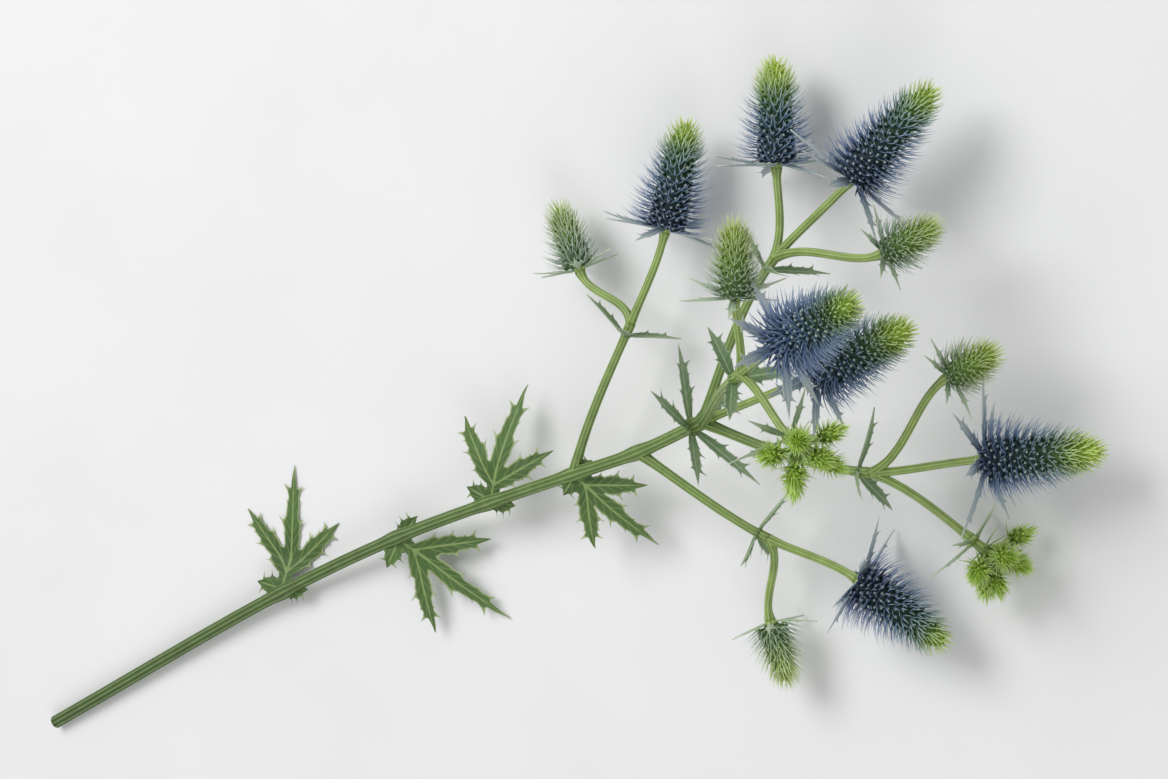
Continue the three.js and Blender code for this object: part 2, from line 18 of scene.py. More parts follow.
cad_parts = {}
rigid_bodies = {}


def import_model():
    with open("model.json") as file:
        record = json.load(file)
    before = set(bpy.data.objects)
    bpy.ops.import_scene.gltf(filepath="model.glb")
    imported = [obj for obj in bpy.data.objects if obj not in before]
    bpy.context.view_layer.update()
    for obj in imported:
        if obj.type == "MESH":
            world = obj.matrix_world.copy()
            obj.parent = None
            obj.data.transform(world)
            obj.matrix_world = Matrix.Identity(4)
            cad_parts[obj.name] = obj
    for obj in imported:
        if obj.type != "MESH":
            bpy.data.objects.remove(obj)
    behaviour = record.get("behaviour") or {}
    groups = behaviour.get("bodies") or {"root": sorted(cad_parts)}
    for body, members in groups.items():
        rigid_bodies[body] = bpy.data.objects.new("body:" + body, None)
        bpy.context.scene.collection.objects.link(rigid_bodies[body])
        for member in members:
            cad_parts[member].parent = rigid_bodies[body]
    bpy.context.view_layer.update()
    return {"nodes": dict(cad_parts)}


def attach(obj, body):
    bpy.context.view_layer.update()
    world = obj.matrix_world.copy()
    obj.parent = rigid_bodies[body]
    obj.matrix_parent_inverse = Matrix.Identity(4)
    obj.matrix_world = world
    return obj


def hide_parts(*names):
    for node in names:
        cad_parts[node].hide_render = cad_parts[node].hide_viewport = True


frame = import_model()

# ---- The plan, in millimetres: the same layout as the solids -------------------------------------------

MM = 0.001
GAP = 0.3  # air between pieces that touch on the plant
UP = np.array([0.0, 0.0, 1.0])
GOLDEN = math.pi * (3 - math.sqrt(5))  # the turn from one floret to the next

JOINTS = {
    "foot": (-20, -3, 2.8),
    "low_leaf": (128, 9, 6.5),
    "mid_leaf": (198, 10, 12),
    "high_leaf": (252, 7, 18),
    "left_axil": (300, 3, 26),
    "right_axil": (336, 0, 33),
    "crown": (374, 0, 42),
}

Fork = namedtuple("Fork", "start leave at along")
FORKS = {
    "crown": Fork(None, None, JOINTS["crown"], (1, 0, 0.24)),
    "left": Fork("crown", (0.72, 0.68, 0.05), (430, 48, 40), (0.88, 0.47, -0.05)),
    "right": Fork("crown", (0.74, -0.66, 0.04), (433, -45, 38), (0.9, -0.42, -0.06)),
    "top": Fork("crown", (0.7, 0.08, 0.72), (423, 7, 92), (0.84, 0.06, 0.53)),
    "low_left": Fork("left_axil", (0.66, 0.74, 0.1), (352, 50, 27), (0.74, 0.66, -0.08)),
    "low_right": Fork("right_axil", (0.6, -0.8, 0), (374, -53, 27), (0.66, -0.74, -0.1)),
}

# Each head's fork, the end of its stalk, the way it points, its kind, its size, and how far it has ripened
# beyond the usual head, which moves its colours up the cone.
Head = namedtuple("Head", "id fork at aim kind size ripeness")
HEADS = [
    Head("01", "crown", (437, -2, 60), (0.99, 0.02, 0.14), "ripe", 1.0, 0.0),
    Head("02", "left", (471, 64, 34), (0.92, 0.38, -0.04), "ripe", 1.02, 0.05),
    Head("03", "left", (438, 83, 23), (0.38, 0.92, -0.03), "ripe", 0.86, -0.08),
    Head("04", "left", (480, 31, 50), (0.98, 0.02, 0.2), "young", 0.95, 0.1),
    Head("05", "right", (477, -57, 31), (0.95, -0.3, -0.04), "ripe", 1.0, -0.05),
    Head("06", "right", (484, -23, 46), (0.97, 0.06, 0.22), "young", 0.85, -0.1),
    Head("07", "top", (455, 9, 113), (0.92, 0.04, 0.38), "ripe", 0.94, 0.08),
    Head("08", "top", (441, 33, 106), (0.52, 0.8, 0.3), "young", 1.1, 0.0),
    Head("09", "low_left", (380, 79, 22), (0.6, 0.8, -0.02), "ripe", 0.92, 0.02),
    Head("10", "low_left", (334, 80, 18), (0.06, 0.99, 0.02), "young", 1.0, 0.15),
    Head("11", "low_right", (402, -82, 22), (0.56, -0.83, -0.02), "ripe", 0.9, 0.06),
    Head("12", "low_right", (356, -84, 18), (-0.1, -0.99, 0.02), "young", 0.9, -0.05),
]
Cluster = namedtuple("Cluster", "id fork at aim count")
CLUSTERS = [
    Cluster("01", "right", (455, -84, 21), (0.5, -0.86, -0.05), 8),
    Cluster("02", "top", (441, -23, 108), (0.5, -0.74, 0.45), 7),
]

# A cone's length and radius, and the length and lean of its spines at its base and its tip.
RIPE = Form(length=46, core_r=7.2, spine_base=12.6, spine_tip=5, lean_base=10, lean_tip=60)
YOUNG = Form(length=25, core_r=5.6, spine_base=8, spine_tip=5, lean_base=30, lean_tip=68)
SMALL = Form(length=8.2, core_r=2.5, spine_base=5, spine_tip=4.6, lean_base=-8, lean_tip=84)
LIME_FROM = 0.72  # how far up a ripe head its lime tip starts
# The small heads of a cluster: how high their common seat is, how far from it they reach and how that
# differs, half their length in the solids, the widest that they lean from the cluster's axis, and the draws
# that each one's spines take in the solids.
IN_CLUSTER = Form(seat=5, reach=14.5, reaches=(0.94, 1.06), half_length=4.6, widest=78, draws=7)

ROOT_DEPTH = 1.6  # how far a blade's root reaches into what carries it
COLLAR = Form(disc_r=4.3, height=1.8)
# Blades in a ring: how many, how long, and the least and most that they slope up.
Ring = namedtuple("Ring", "count length slopes")
BRACTS = {
    "ripe": Ring(7, 25, (-0.3, 0.14)),
    "young": Ring(6, 15, (0, 0.26)),
    "cluster": Ring(5, 19, (-0.3, 0)),
}
LEAFLET_SLOPES = (0.238, 0.442)
Whorl = namedtuple("Whorl", "id fork parent count length")
WHORLS = [
    Whorl("crown", "crown", "stalk", 5, 27),
    Whorl("left", "left", "branch", 3, 20),
    Whorl("right", "right", "branch", 3, 20),
    Whorl("top", "top", "branch", 3, 18),
    Whorl("low_left", "low_left", "branch", 3, 17),
    Whorl("low_right", "low_right", "branch", 3, 17),
]
Leaf = namedtuple("Leaf", "id joint heading length mid_z tip_z")
LEAVES = [
    Leaf("01", "low_leaf", 62, 56, 0.2, 0.2),
    Leaf("02", "mid_leaf", -58, 60, 9, 1.2),
    Leaf("03", "high_leaf", 50, 52, 19, 9),
    Leaf("04", "left_axil", -66, 44, 24, 13),
]

# Each kind of stalk: its radius at the foot and the end, its swelling at each (how high, and how far it
# reaches as a share of the length), the shares of the plant's height that it runs between, its ribs, their
# depth as a share of the radius, and the points along and round it.
Stalk = namedtuple("Stalk", "foot_r end_r foot_swell end_swell heights ribs rib_depth steps sides")
EVEN = (0, 1)  # no swelling
STALK = Stalk(2.8, 2.4, EVEN, EVEN, (0, 0.62), 9, 0.075, 150, 66)
BRANCH = Stalk(2.0, 1.7, (0.5, 0.1), (0.4, 0.08), (0.62, 0.8), 8, 0.09, 40, 40)
FLOWER_STALK = Stalk(1.6, 1.5, (0.3, 0.12), (0.7, 0.07), (0.8, 1), 7, 0.1, 34, 35)
SHORT_STALK = Stalk(1.15, 0.95, EVEN, (0.8, 0.15), (0.92, 1), 7, 0.06, 14, 28)
KNOT = (0.7, 6)  # the main stalk's swelling at a joint: how high, and how far it reaches

# The seeds of the draws: the solids' own, and those of the finer surface. A piece adds its order to them.
SOLID_SEEDS = {"head": 100, "cluster": 300, "whorl": 500}
FINE_SEEDS = {"head": 700, "cluster": 800, "whorl": 900, "leaf": 1000}

# ---- What the finer surface adds, in millimetres -------------------------------------------------------

# The fine blades carry more teeth than the solids' do.
Blade = namedtuple("Blade", "half_width teeth tooth")
FINE_BRACTS = {"ripe": Blade(2.4, 2, 1.9), "young": Blade(1.5, 1, 1.5), "cluster": Blade(1.4, 1, 1.4)}
FINE_LEAFLET = Blade(3.1, 2, 2.3)
FINE_LOBE = Blade(4.4, 3, 2.4)
# How the blades of a ring differ: their lengths, how far each strays round the ring as a share of its room,
# and their curl and sway at the point as shares of the length. Last, how steeply they fold up.
Variety = namedtuple("Variety", "lengths stray curl sway fold")
BRACT_VARIETY = Variety((0.84, 1.16), 0.4, (-0.03, 0.1), (-0.05, 0.05), 0.25)
LEAFLET_VARIETY = Variety((0.85, 1.15), 0.3, (-0.06, 0.06), (-0.06, 0.06), 0.3)

# Lathed parts, as the radius and height of each ring.
COLLAR_SEAT = [(1.6, -0.6), (2.3, -0.1), (2.9, 0.5), (3.3, 1.2), (3, 1.8), (1, 2.2)]
CLUSTER_SEAT = [(1.9, -0.5), (2, 1), (2.3, 2.8), (2.6, 4.6), (2.2, 6.2), (0.8, 7)]
SEAT_SIDES = 28
FOOT_DISH = [(2.86, 0.5), (2.84, -0.12), (2.5, -0.2), (1.6, -0.05), (0.05, 0)]
FOOT_SHARES = [1, 1, 0.86, 0.5, 0]  # how far from the middle its rings are on the pith's colours
FOOT_SIDES = 44

# Buds: the rings of one with a radius of 1, how far they lean towards the head's tip and the steepest that
# they stand, in radians, how their sizes differ, and where up the head the unripe ones shrink, and by what.
BUD_RINGS = [(0.6, -0.6), (0.95, 0.9), (0.9, 1.9), (0.62, 2.6), (0.22, 2.95)]
BUD = Form(sides=7, lean=0.35, steepest=1.54, sizes=(0.92, 1.08), unripe=(0.6, 0.95), shrink=0.5)
# Sepals: how far out on the bud they stand, how far they are sunk, how much they lean out, their half width
# as a share of their length and at the point in millimetres, and their thickness as a share of that.
SEPAL = Form(count=5, turn=0.3, foot=0.75, sunk=0.3, lean=0.4, half_width=0.23, point=0.02, thickness=0.6)
# Spines: how fast their lean and length change up the head, how far they stray in radians, how their lengths
# differ, and where up the head their width changes.
SPINE = Form(
    leaning=1.25,
    lengthening=1.4,
    stray_lean=0.08,
    stray_turn=0.09,
    lengths=(0.84, 1.12),
    widening=(0.55, 0.9),
)
SPINE_SUNK = 0.4  # how deep in the cone their roots are
SPINE_SECTION = [(1, 0.12), (0, 0.3), (-1, 0.12), (0, -0.5)]  # across and over it, in half widths
LONG_SPINE = np.array([0, 0.14, 0.34, 0.54, 0.74, 0.9, 1])  # where its rings are
SHORT_SPINE = np.array([0, 0.3, 0.7, 1])
# The side points of a lower spine: how far up the head they are found, where they leave it, how far they
# turn from it in radians, and their length, width and bend as shares of its own.
SIDE = Form(below=0.8, fork=0.08, turn=0.46, length=0.76, width=0.84, bend=0.9)
# The spines under a small head and the narrow bracts of a cluster: how many, how far out their feet are, how
# long, how steep, how wide and bent, and how far up the head their colours are from.
UNDER = Form(count=6, foot=1.1, lengths=(6, 9), rises=(0.1, 0.6), width=0.5, bend=0.15, height=0.1)
NARROW = Form(count=20, foot=2.6, lengths=(9, 13), steepest=75, width=0.62, bend=0.12, height=0.05)
CROWDED = Form(start=0.62, full=0.92, more=2)  # where up a head the florets crowd, and how much more

LOWEST = 0.35  # how near the surface the middle of a blade or spine that lies on it comes
SETTLE = 1.3  # below this height a blade or spine starts to bend along the surface
CONTACT = 0.03  # the air left under what lies on the surface

# ---- Small helpers -------------------------------------------------------------------------------------


def lerp(a, b, share):
    return a + (b - a) * share


def smoothstep(x, low, high):
    t = np.clip((x - low) / (high - low), 0, 1)
    return t * t * (3 - 2 * t)


def unit(vector):
    vector = np.asarray(vector, float)
    return vector / np.linalg.norm(vector, axis=-1, keepdims=True)


def level(turns):
    """The level directions at these turns round an upright axis."""
    return np.stack([np.cos(turns), np.sin(turns), 0 * turns], -1)


def rising(turns, leans):
    """The directions at these turns that rise this far from level, in radians."""
    return np.cos(leans)[..., None] * level(turns) + np.sin(leans)[..., None] * UP


def draws_from(seed):
    """The repeatable draws between 0 and 1 that the solids are placed by."""
    whole = 0xFFFFFFFF
    state = seed

    def draw():
        nonlocal state
        state = (state + 0x6D2B79F5) & whole
        t = ((state ^ (state >> 15)) * (state | 1)) & whole
        t = ((t + (t ^ (t >> 7)) * (t | 61)) & whole) ^ t
        return ((t ^ (t >> 14)) & whole) / (whole + 1)

    return draw


def placement(at, aim):
    """A 4 by 4 matrix that turns local +Z to the aim, with local +X kept level, and moves to the point."""
    z = unit(aim)
    x = unit(np.cross(UP, z))
    matrix = np.eye(4)
    matrix[:3, 0], matrix[:3, 1], matrix[:3, 2], matrix[:3, 3] = x, np.cross(z, x), z, at
    return matrix


def above_collar(matrix):
    """The placement of what stands on a head's collar."""
    above = matrix.copy()
    above[:3, 3] += matrix[:3, 2] * (COLLAR.height + GAP)
    return above


def moved(matrix, points):
    return points @ matrix[:3, :3].T + matrix[:3, 3]


def turned(matrix, directions):
    return directions @ matrix[:3, :3].T


def turn_z(sheet, angle):
    c, s = math.cos(angle), math.sin(angle)
    return sheet @ np.array([[c, s, 0], [-s, c, 0], [0, 0, 1]])


def settled(points):
    """Points that would sink below the surface bend along it instead."""
    z = points[..., 2]
    low = LOWEST + (SETTLE - LOWEST) * np.exp((np.minimum(z, SETTLE) - SETTLE) / (SETTLE - LOWEST))
    result = points.copy()
    result[..., 2] = np.where(z < SETTLE, low, z)
    return result


def on_surface(points):
    """Points that reach below the surface are pressed flat on it."""
    return np.maximum(points, [-np.inf, -np.inf, CONTACT])


def plan_origin():
    """Where the plan's origin lies in the frame: the tip of the first head's last spine is in both."""
    head = HEADS[0]
    aim = unit(head.aim)
    reach = COLLAR.height + GAP + RIPE.length * head.size + RIPE.spine_tip
    in_plan = np.array(head.at) + aim * reach
    tip = max(frame["nodes"]["head_01_tip"].data.vertices, key=lambda v: v.co.dot(Vector(aim)))
    return np.array(tip.co) / MM - in_plan


ORIGIN = plan_origin()

# ---- Meshes --------------------------------------------------------------------------------------------

MAP_NAME = "OFBake"
MARGINS = (0.02, 0.98)  # what the map uses of its width and height
# Each kind of surface on a head has its own strip of the map, where x runs from the root to the tip.
STRIPS = {"spine": (0.01, 0.5), "bud": (0.52, 0.66), "sepal": (0.68, 0.8), "core": (0.82, 0.99)}
# How far apart on the map the sides of a spine, and of a bud or sepal, are.
SPINE_APART, BUD_APART = 0.006, 0.004


class Skin:
    """A mesh in the making: points in the plan's millimetres, faces with their finishes, and for each point
    its place on the map that the finishes read."""

    def __init__(self):
        self.points, self.places, self.corners, self.sizes, self.kinds = [], [], [], [], []
        self.finishes = []
        self.total = 0

    def add(self, points, places, faces, finish):
        if finish not in self.finishes:
            self.finishes.append(finish)
        for group in faces:
            self.corners.append((group + self.total).ravel())
            self.sizes.append(np.full(len(group), group.shape[1]))
            self.kinds.append(np.full(len(group), self.finishes.index(finish)))
        self.points.append(points.reshape(-1, 3))
        self.places.append(places.reshape(-1, 2))
        self.total += len(self.points[-1])

    def rings(self, rings, places, finish):
        """Closed bodies, each a stack of rings: an array of body, ring, point on the ring and x, y, z."""
        bodies, stack, around = rings.shape[:3]
        ring, spot = np.meshgrid(np.arange(stack - 1), np.arange(around), indexing="ij")
        here = ring * around + spot
        beside = ring * around + (spot + 1) % around
        walls = np.stack([here, beside, beside + around, here + around], -1).reshape(-1, 4)
        rim = np.arange(around)
        caps = np.stack([rim[::-1], rim + (stack - 1) * around])
        start = (np.arange(bodies) * stack * around)[:, None, None]
        faces = [(walls + start).reshape(-1, 4), (caps + start).reshape(-1, around)]
        self.add(rings, places, faces, finish)

    def piece(self, name, node, slot):
        """The finished object, in the frame's metres, which stands for one of the solids."""
        mesh = bpy.data.meshes.new(name)
        points = (np.concatenate(self.points) + ORIGIN) * MM
        corners, sizes = np.concatenate(self.corners), np.concatenate(self.sizes)
        mesh.vertices.add(len(points))
        mesh.vertices.foreach_set("co", points.astype(np.float32).ravel())
        mesh.loops.add(len(corners))
        mesh.loops.foreach_set("vertex_index", corners.astype(np.int32))
        mesh.polygons.add(len(sizes))
        starts = np.concatenate([[0], np.cumsum(sizes)[:-1]])
        mesh.polygons.foreach_set("loop_start", starts.astype(np.int32))
        mesh.polygons.foreach_set("material_index", np.concatenate(self.kinds).astype(np.int32))
        mesh.update(calc_edges=True)
        layer = mesh.uv_layers.new(name=MAP_NAME)
        layer.uv.foreach_set("vector", np.concatenate(self.places)[corners].astype(np.float32).ravel())
        for finish in self.finishes:
            mesh.materials.append(finish)
        mesh.shade_smooth()
        piece = bpy.data.objects.new(name, mesh)
        bpy.context.scene.collection.objects.link(piece)
        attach(piece, "root")
        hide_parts(node)


def on_map(x, y):
    """Places on the map from two shares of it."""
    return np.stack(np.broadcast_arrays(lerp(*MARGINS, x), lerp(*MARGINS, y)), -1)


def on_strip(strip, x, y):
    """Places on the map from a share along the strip and a share up the head."""
    return np.stack(np.broadcast_arrays(lerp(*STRIPS[strip], x), lerp(*MARGINS, y)), -1)


# ---- Colours and finishes ------------------------------------------------------------------------------


def colour(code):
    """An sRGB hex value as a linear colour."""
    shares = [int(code[i : i + 2], 16) / 255 for i in (1, 3, 5)]
    return (*[s / 12.92 if s <= 0.04045 else ((s + 0.055) / 1.055) ** 2.4 for s in shares], 1)


def add(tree, kind, sockets=None, stops=(), out=0, **settings):
    """Adds a node with its settings, a colour ramp's stops, and values, hex colours or links for its
    sockets, and gives one of its outputs."""
    node = tree.nodes.new("ShaderNode" + kind)
    for name, value in settings.items():
        setattr(node, name, value)
    if stops:
        elements = node.color_ramp.elements
        while len(elements) < len(stops):
            elements.new(1)
        for element, (position, code) in zip(elements, stops):
            element.position = position
            element.color = colour(code)
    for socket, value in (sockets or {}).items():
        if isinstance(value, bpy.types.NodeSocket):
            tree.links.new(value, node.inputs[socket])
        else:
            node.inputs[socket].default_value = colour(value) if isinstance(value, str) else value
    return node.outputs[out] if len(node.outputs) else None


# The sockets of the Map Range, Math and Mix nodes, and the settings of a mix of colours and a soft step.
IN, LOW, HIGH, TO_LOW, TO_HIGH = range(5)
BY, PLUS = 1, 2
SHARE, FIRST, SECOND, RESULT = 0, 6, 7, 2
COLOURS = {"out": RESULT, "data_type": "RGBA"}
SOFT = {"interpolation_type": "SMOOTHSTEP"}

PER_METRE = 1 / MM  # a pattern's scale is this over its size in millimetres
WAX_IOR = 1.45  # the wax that a plant's skin is covered with
PAPER_IOR = 1.5


def finish(name, lay_out, ior=WAX_IOR):
    """A material. lay_out adds its nodes and gives the values and links of the surface shader."""
    material = bpy.data.materials.new(name)
    material.use_nodes = True
    tree = material.node_tree
    tree.nodes.clear()
    surface = add(tree, "BsdfPrincipled", {"IOR": ior, **lay_out(tree)})
    add(tree, "OutputMaterial", {"Surface": surface})
    return material


def map_shares(tree, strip=None):
    """How far a point lies along its spine, bud or blade, and how far up its head or across its blade."""
    x, y, _ = add(tree, "SeparateXYZ", {IN: add(tree, "UVMap", uv_map=MAP_NAME)}).node.outputs
    low, high = STRIPS[strip] if strip else (0, 1)
    along = add(tree, "MapRange", {IN: x, LOW: low, HIGH: high})
    return along, add(tree, "MapRange", {IN: y, LOW: MARGINS[0], HIGH: MARGINS[1]})


def mottle(tree, size, detail=2):
    """Noise with blotches of that many millimetres, fixed to the plant."""
    where = add(tree, "TexCoord", out="Object")
    return add(tree, "TexNoise", {"Vector": where, "Scale": PER_METRE / size, "Detail": detail})


# Colours up a head, from its base to its tip.
SPINE_COLOURS = {
    "ripe": [
        (0, "#627aa2"), (0.3, "#6987af"), (0.55, "#7391a9"),
        (0.7, "#87a698"), (0.82, "#abc876"), (1, "#c4dd68"),
    ],
    "young": [(0, "#a8bcae"), (0.35, "#afc49d"), (0.7, "#b6cc84"), (1, "#c0d670")],
    "cluster": [(0, "#8aae42"), (0.5, "#9cc347"), (1, "#aed34e")],
}
SPINE_TIPS = {
    "ripe": [(0, "#b3c4e0"), (0.45, "#bccde2"), (0.7, "#cddcd6"), (0.85, "#e2efb8"), (1, "#eaf5b2")],
    "young": [(0, "#dde6dc"), (0.5, "#e3ecd2"), (1, "#ebf2c8")],
    "cluster": [(0, "#d4e7a4"), (1, "#e0f2a0")],
}
# The cone's own dark green, painted darker still: painted shade for the shade that falls between the
# florets.
CORE_COLOURS_WITH_SHADE = {
    "ripe": [
        (0, "#222f3d"), (0.35, "#223a34"), (0.62, "#2e4e2c"),
        (0.76, "#608438"), (0.88, "#92b343"), (1, "#aecb4e"),
    ],
    "young": [(0, "#4f6e42"), (0.4, "#63883e"), (1, "#8cad43")],
    "cluster": [(0, "#58772b"), (0.5, "#7c9c34"), (1, "#a0c03c")],
}
BUD_COLOURS = {
    "ripe": [(0, "#bccad0"), (0.4, "#b9cac2"), (0.65, "#bccfa8"), (0.8, "#bcd07b"), (1, "#c4d672")],
    "young": [(0, "#c6d4b8"), (0.5, "#bed186"), (1, "#c2d66f")],
    "cluster": [(0, "#bcd274"), (1, "#c0da5e")],
}
SEPAL_COLOURS = {
    "ripe": [(0, "#3a4d66"), (0.35, "#375550"), (0.62, "#42683e"), (0.78, "#7b9b44"), (1, "#9ab64a")],
    "young": [(0, "#76945c"), (1, "#9ab84e")],
    "cluster": [(0, "#7c9a38"), (1, "#9dba46")],
}


def bracteole(kind):
    """Bracteole skin, grown with a powdery wax bloom: the bloom greys its blue and spreads its gloss, and
    wears thin towards the hard pale point."""

    def lay_out(tree):
        along, up = map_shares(tree, "spine")
        body = add(tree, "ValToRGB", {IN: up}, SPINE_COLOURS[kind])
        tip = add(tree, "ValToRGB", {IN: up}, SPINE_TIPS[kind])
        # Near its root a spine takes the cone's colour, which carries painted shade from deep among the
        # florets.
        root = add(tree, "ValToRGB", {IN: up}, CORE_COLOURS_WITH_SHADE[kind])
        out_of_root_shade = add(tree, "MapRange", {IN: along, LOW: 0.02, HIGH: 0.34}, **SOFT)
        to_tip = add(tree, "MapRange", {IN: along, LOW: 0.3, HIGH: 1, TO_HIGH: 0.9})
        blotch = mottle(tree, 6)
        shade = add(tree, "MapRange", {IN: blotch, LOW: 0.3, HIGH: 0.7, TO_LOW: 0.82, TO_HIGH: 1.2})
        mixed = add(tree, "Mix", {SHARE: out_of_root_shade, FIRST: root, SECOND: body}, **COLOURS)
        mixed = add(tree, "Mix", {SHARE: to_tip, FIRST: mixed, SECOND: tip}, **COLOURS)
        shaded = add(tree, "HueSaturation", {"Value": shade, "Color": mixed})
        return {"Base Color": shaded, "Roughness": 0.42}

    return finish(f"waxy_bracteole_{kind}", lay_out)


def bud(kind):
    """Petals still rolled shut, grown smooth and taut: pale, with a small round highlight on each bud, and
    darker where it sits in its sepals."""

    def lay_out(tree):
        along, up = map_shares(tree, "bud")
        pale = add(tree, "ValToRGB", {IN: up}, BUD_COLOURS[kind])
        seat = add(tree, "ValToRGB", {IN: up}, SEPAL_COLOURS[kind])
        from_seat = add(tree, "MapRange", {IN: along, LOW: 0.26, HIGH: 0.56}, **SOFT)
        mixed = add(tree, "Mix", {SHARE: from_seat, FIRST: seat, SECOND: pale}, **COLOURS)
        return {"Base Color": mixed, "Roughness": 0.35}

    return finish(f"smooth_bud_{kind}", lay_out)


def sepal(kind):
    """Stiff sepal, grown thin and leathery: a satin dark star round each bud, paler at its five points."""

    def lay_out(tree):
        along, up = map_shares(tree, "sepal")
        body = add(tree, "ValToRGB", {IN: up}, SEPAL_COLOURS[kind])
        tip = add(tree, "ValToRGB", {IN: up}, SPINE_COLOURS[kind])
        to_tip = add(tree, "MapRange", {IN: along, LOW: 0.3, HIGH: 1})
        mixed = add(tree, "Mix", {SHARE: to_tip, FIRST: body, SECOND: tip}, **COLOURS)
        return {"Base Color": mixed, "Roughness": 0.5}

    return finish(f"stiff_sepal_{kind}", lay_out)


def seat(kind):
    """Cone flesh that the florets grow from, soft and without wax: matt and dark, with painted shade between
    them.
    """

    def lay_out(tree):
        _, up = map_shares(tree, "core")
        return {"Base Color": add(tree, "ValToRGB", {IN: up}, CORE_COLOURS_WITH_SHADE[kind]), "Roughness": 0.65}

    return finish(f"fleshy_seat_{kind}", lay_out)


def leafy(name, blade, outer, rib, margin, veins, patch=14):
    """Leathery blade, grown stiff under wax: satin, with a hard pale midrib and margin, veins that run
    forward to its teeth, and a paler outer part. The veins are 0.1 mm wide in life and drawn three times as
    wide. patch is the size of its light and dark parts in millimetres."""

    def lay_out(tree):
        along, across = map_shares(tree)
        green = add(tree, "ValToRGB", {IN: mottle(tree, patch)}, [(0.3, blade[0]), (0.7, blade[1])])
        outward = add(tree, "MapRange", {IN: along, LOW: 0.3, HIGH: 0.9, TO_HIGH: 0.85})
        green = add(tree, "Mix", {SHARE: outward, FIRST: green, SECOND: outer}, **COLOURS)
        # Where along the midrib the vein through this point starts, in veins.
        start = add(tree, "Math", {IN: along, BY: veins}, operation="MULTIPLY")
        start = add(tree, "Math", {IN: across, BY: -1.5, PLUS: start}, operation="MULTIPLY_ADD")
        from_vein = add(tree, "Math", {IN: start, BY: 0.5}, operation="PINGPONG")
        on_vein = add(tree, "MapRange", {IN: from_vein, LOW: 0.02, HIGH: 0.12, TO_LOW: 1, TO_HIGH: 0})
        faint = add(tree, "Math", {IN: on_vein, BY: 0.45}, operation="MULTIPLY")
        veined = add(tree, "Mix", {SHARE: faint, FIRST: green, SECOND: rib}, **COLOURS)
        on_rib = add(tree, "MapRange", {IN: across, LOW: 0.04, HIGH: 0.16, TO_LOW: 0.85, TO_HIGH: 0})
        ribbed = add(tree, "Mix", {SHARE: on_rib, FIRST: veined, SECOND: rib}, **COLOURS)
        # The margin is green where the blade leaves the stalk and pale further out.
        past_base = add(tree, "MapRange", {IN: along, LOW: 0.12, HIGH: 0.34, TO_HIGH: 0.8})
        on_edge = add(tree, "MapRange", {IN: across, LOW: 0.78, HIGH: 0.97})
        on_edge = add(tree, "Math", {IN: on_edge, BY: past_base}, operation="MULTIPLY")
        on_point = add(tree, "MapRange", {IN: along, LOW: 0.86, HIGH: 1, TO_HIGH: 0.8})
        pale = add(tree, "Math", {IN: on_edge, BY: on_point}, operation="MAXIMUM")
        edged = add(tree, "Mix", {SHARE: pale, FIRST: ribbed, SECOND: margin}, **COLOURS)
        bump = add(tree, "Bump", {"Height": on_vein, "Distance": 0.15 * MM, "Strength": 0.6})
        return {"Base Color": edged, "Roughness": 0.6, "Normal": bump}

    return finish(name, lay_out)


def stalk_skin():
    """Stalk skin, grown in ribs under wax: satin, dark green at the foot and lime below the heads, with
    painted shade in its grooves and a painted highlight along each rib. Its grain of cells, 0.1 mm in life,
    is drawn at 0.6 mm, because a finer one doesn't show."""

    def lay_out(tree):
        along, around = map_shares(tree)
        rib = [(0, "#4d6734"), (0.35, "#5b763c"), (0.62, "#738e4b"), (0.85, "#94ad5f"), (1, "#a3b96a")]
        # Painted shade: the grooves are painted darker than the ribs.
        groove_shade = [(0, "#42592d"), (0.35, "#4f6735"), (0.62, "#637d3f"), (0.85, "#7f974f"), (1, "#8ba258")]
        light = add(tree, "ValToRGB", {IN: along}, rib)
        dark = add(tree, "ValToRGB", {IN: along}, groove_shade)
        turn = add(tree, "Math", {IN: around, BY: STALK.ribs * math.pi}, operation="MULTIPLY")
        ridge = add(tree, "Math", {IN: turn}, operation="COSINE")
        on_ridge = add(tree, "MapRange", {IN: ridge, LOW: -0.6, HIGH: 0.7}, **SOFT)
        groove_shaded = add(tree, "Mix", {SHARE: on_ridge, FIRST: dark, SECOND: light}, **COLOURS)
        # Painted highlight: a pale line along the crest of each rib.
        crest_highlight = add(tree, "MapRange", {IN: ridge, LOW: 0.5, HIGH: 1, TO_HIGH: 0.3})
        crest_highlighted = add(tree, "Mix", {SHARE: crest_highlight, FIRST: groove_shaded, SECOND: "#bccb92"}, **COLOURS)
        blotch = mottle(tree, 5, 3)
        shade = add(tree, "MapRange", {IN: blotch, LOW: 0.3, HIGH: 0.7, TO_LOW: 0.85, TO_HIGH: 1.12})
        shaded = add(tree, "HueSaturation", {"Value": shade, "Color": crest_highlighted})
        bump = add(tree, "Bump", {"Height": mottle(tree, 0.6), "Distance": 0.08 * MM, "Strength": 0.5})
        return {"Base Color": shaded, "Roughness": 0.4, "Normal": bump}

    return finish("ribbed_stalk_skin", lay_out)


def cut_face():
    """Pith and fibres, cut across with a blade: moist but open, so matt, pale inside a ring of green. Its
    pores, 0.1 mm in life, are drawn at 0.4 mm."""

    def lay_out(tree):
        from_middle, _ = map_shares(tree)
        rings = [(0, "#d9dcbb"), (0.55, "#c9d1a0"), (0.72, "#93a865"), (1, "#4f6a33")]
        face = add(tree, "ValToRGB", {IN: from_middle}, rings)
        bump = add(tree, "Bump", {"Height": mottle(tree, 0.4), "Distance": 0.2 * MM})
        return {"Base Color": face, "Roughness": 0.8, "Normal": bump}

    return finish("fresh_cut_pith", lay_out)


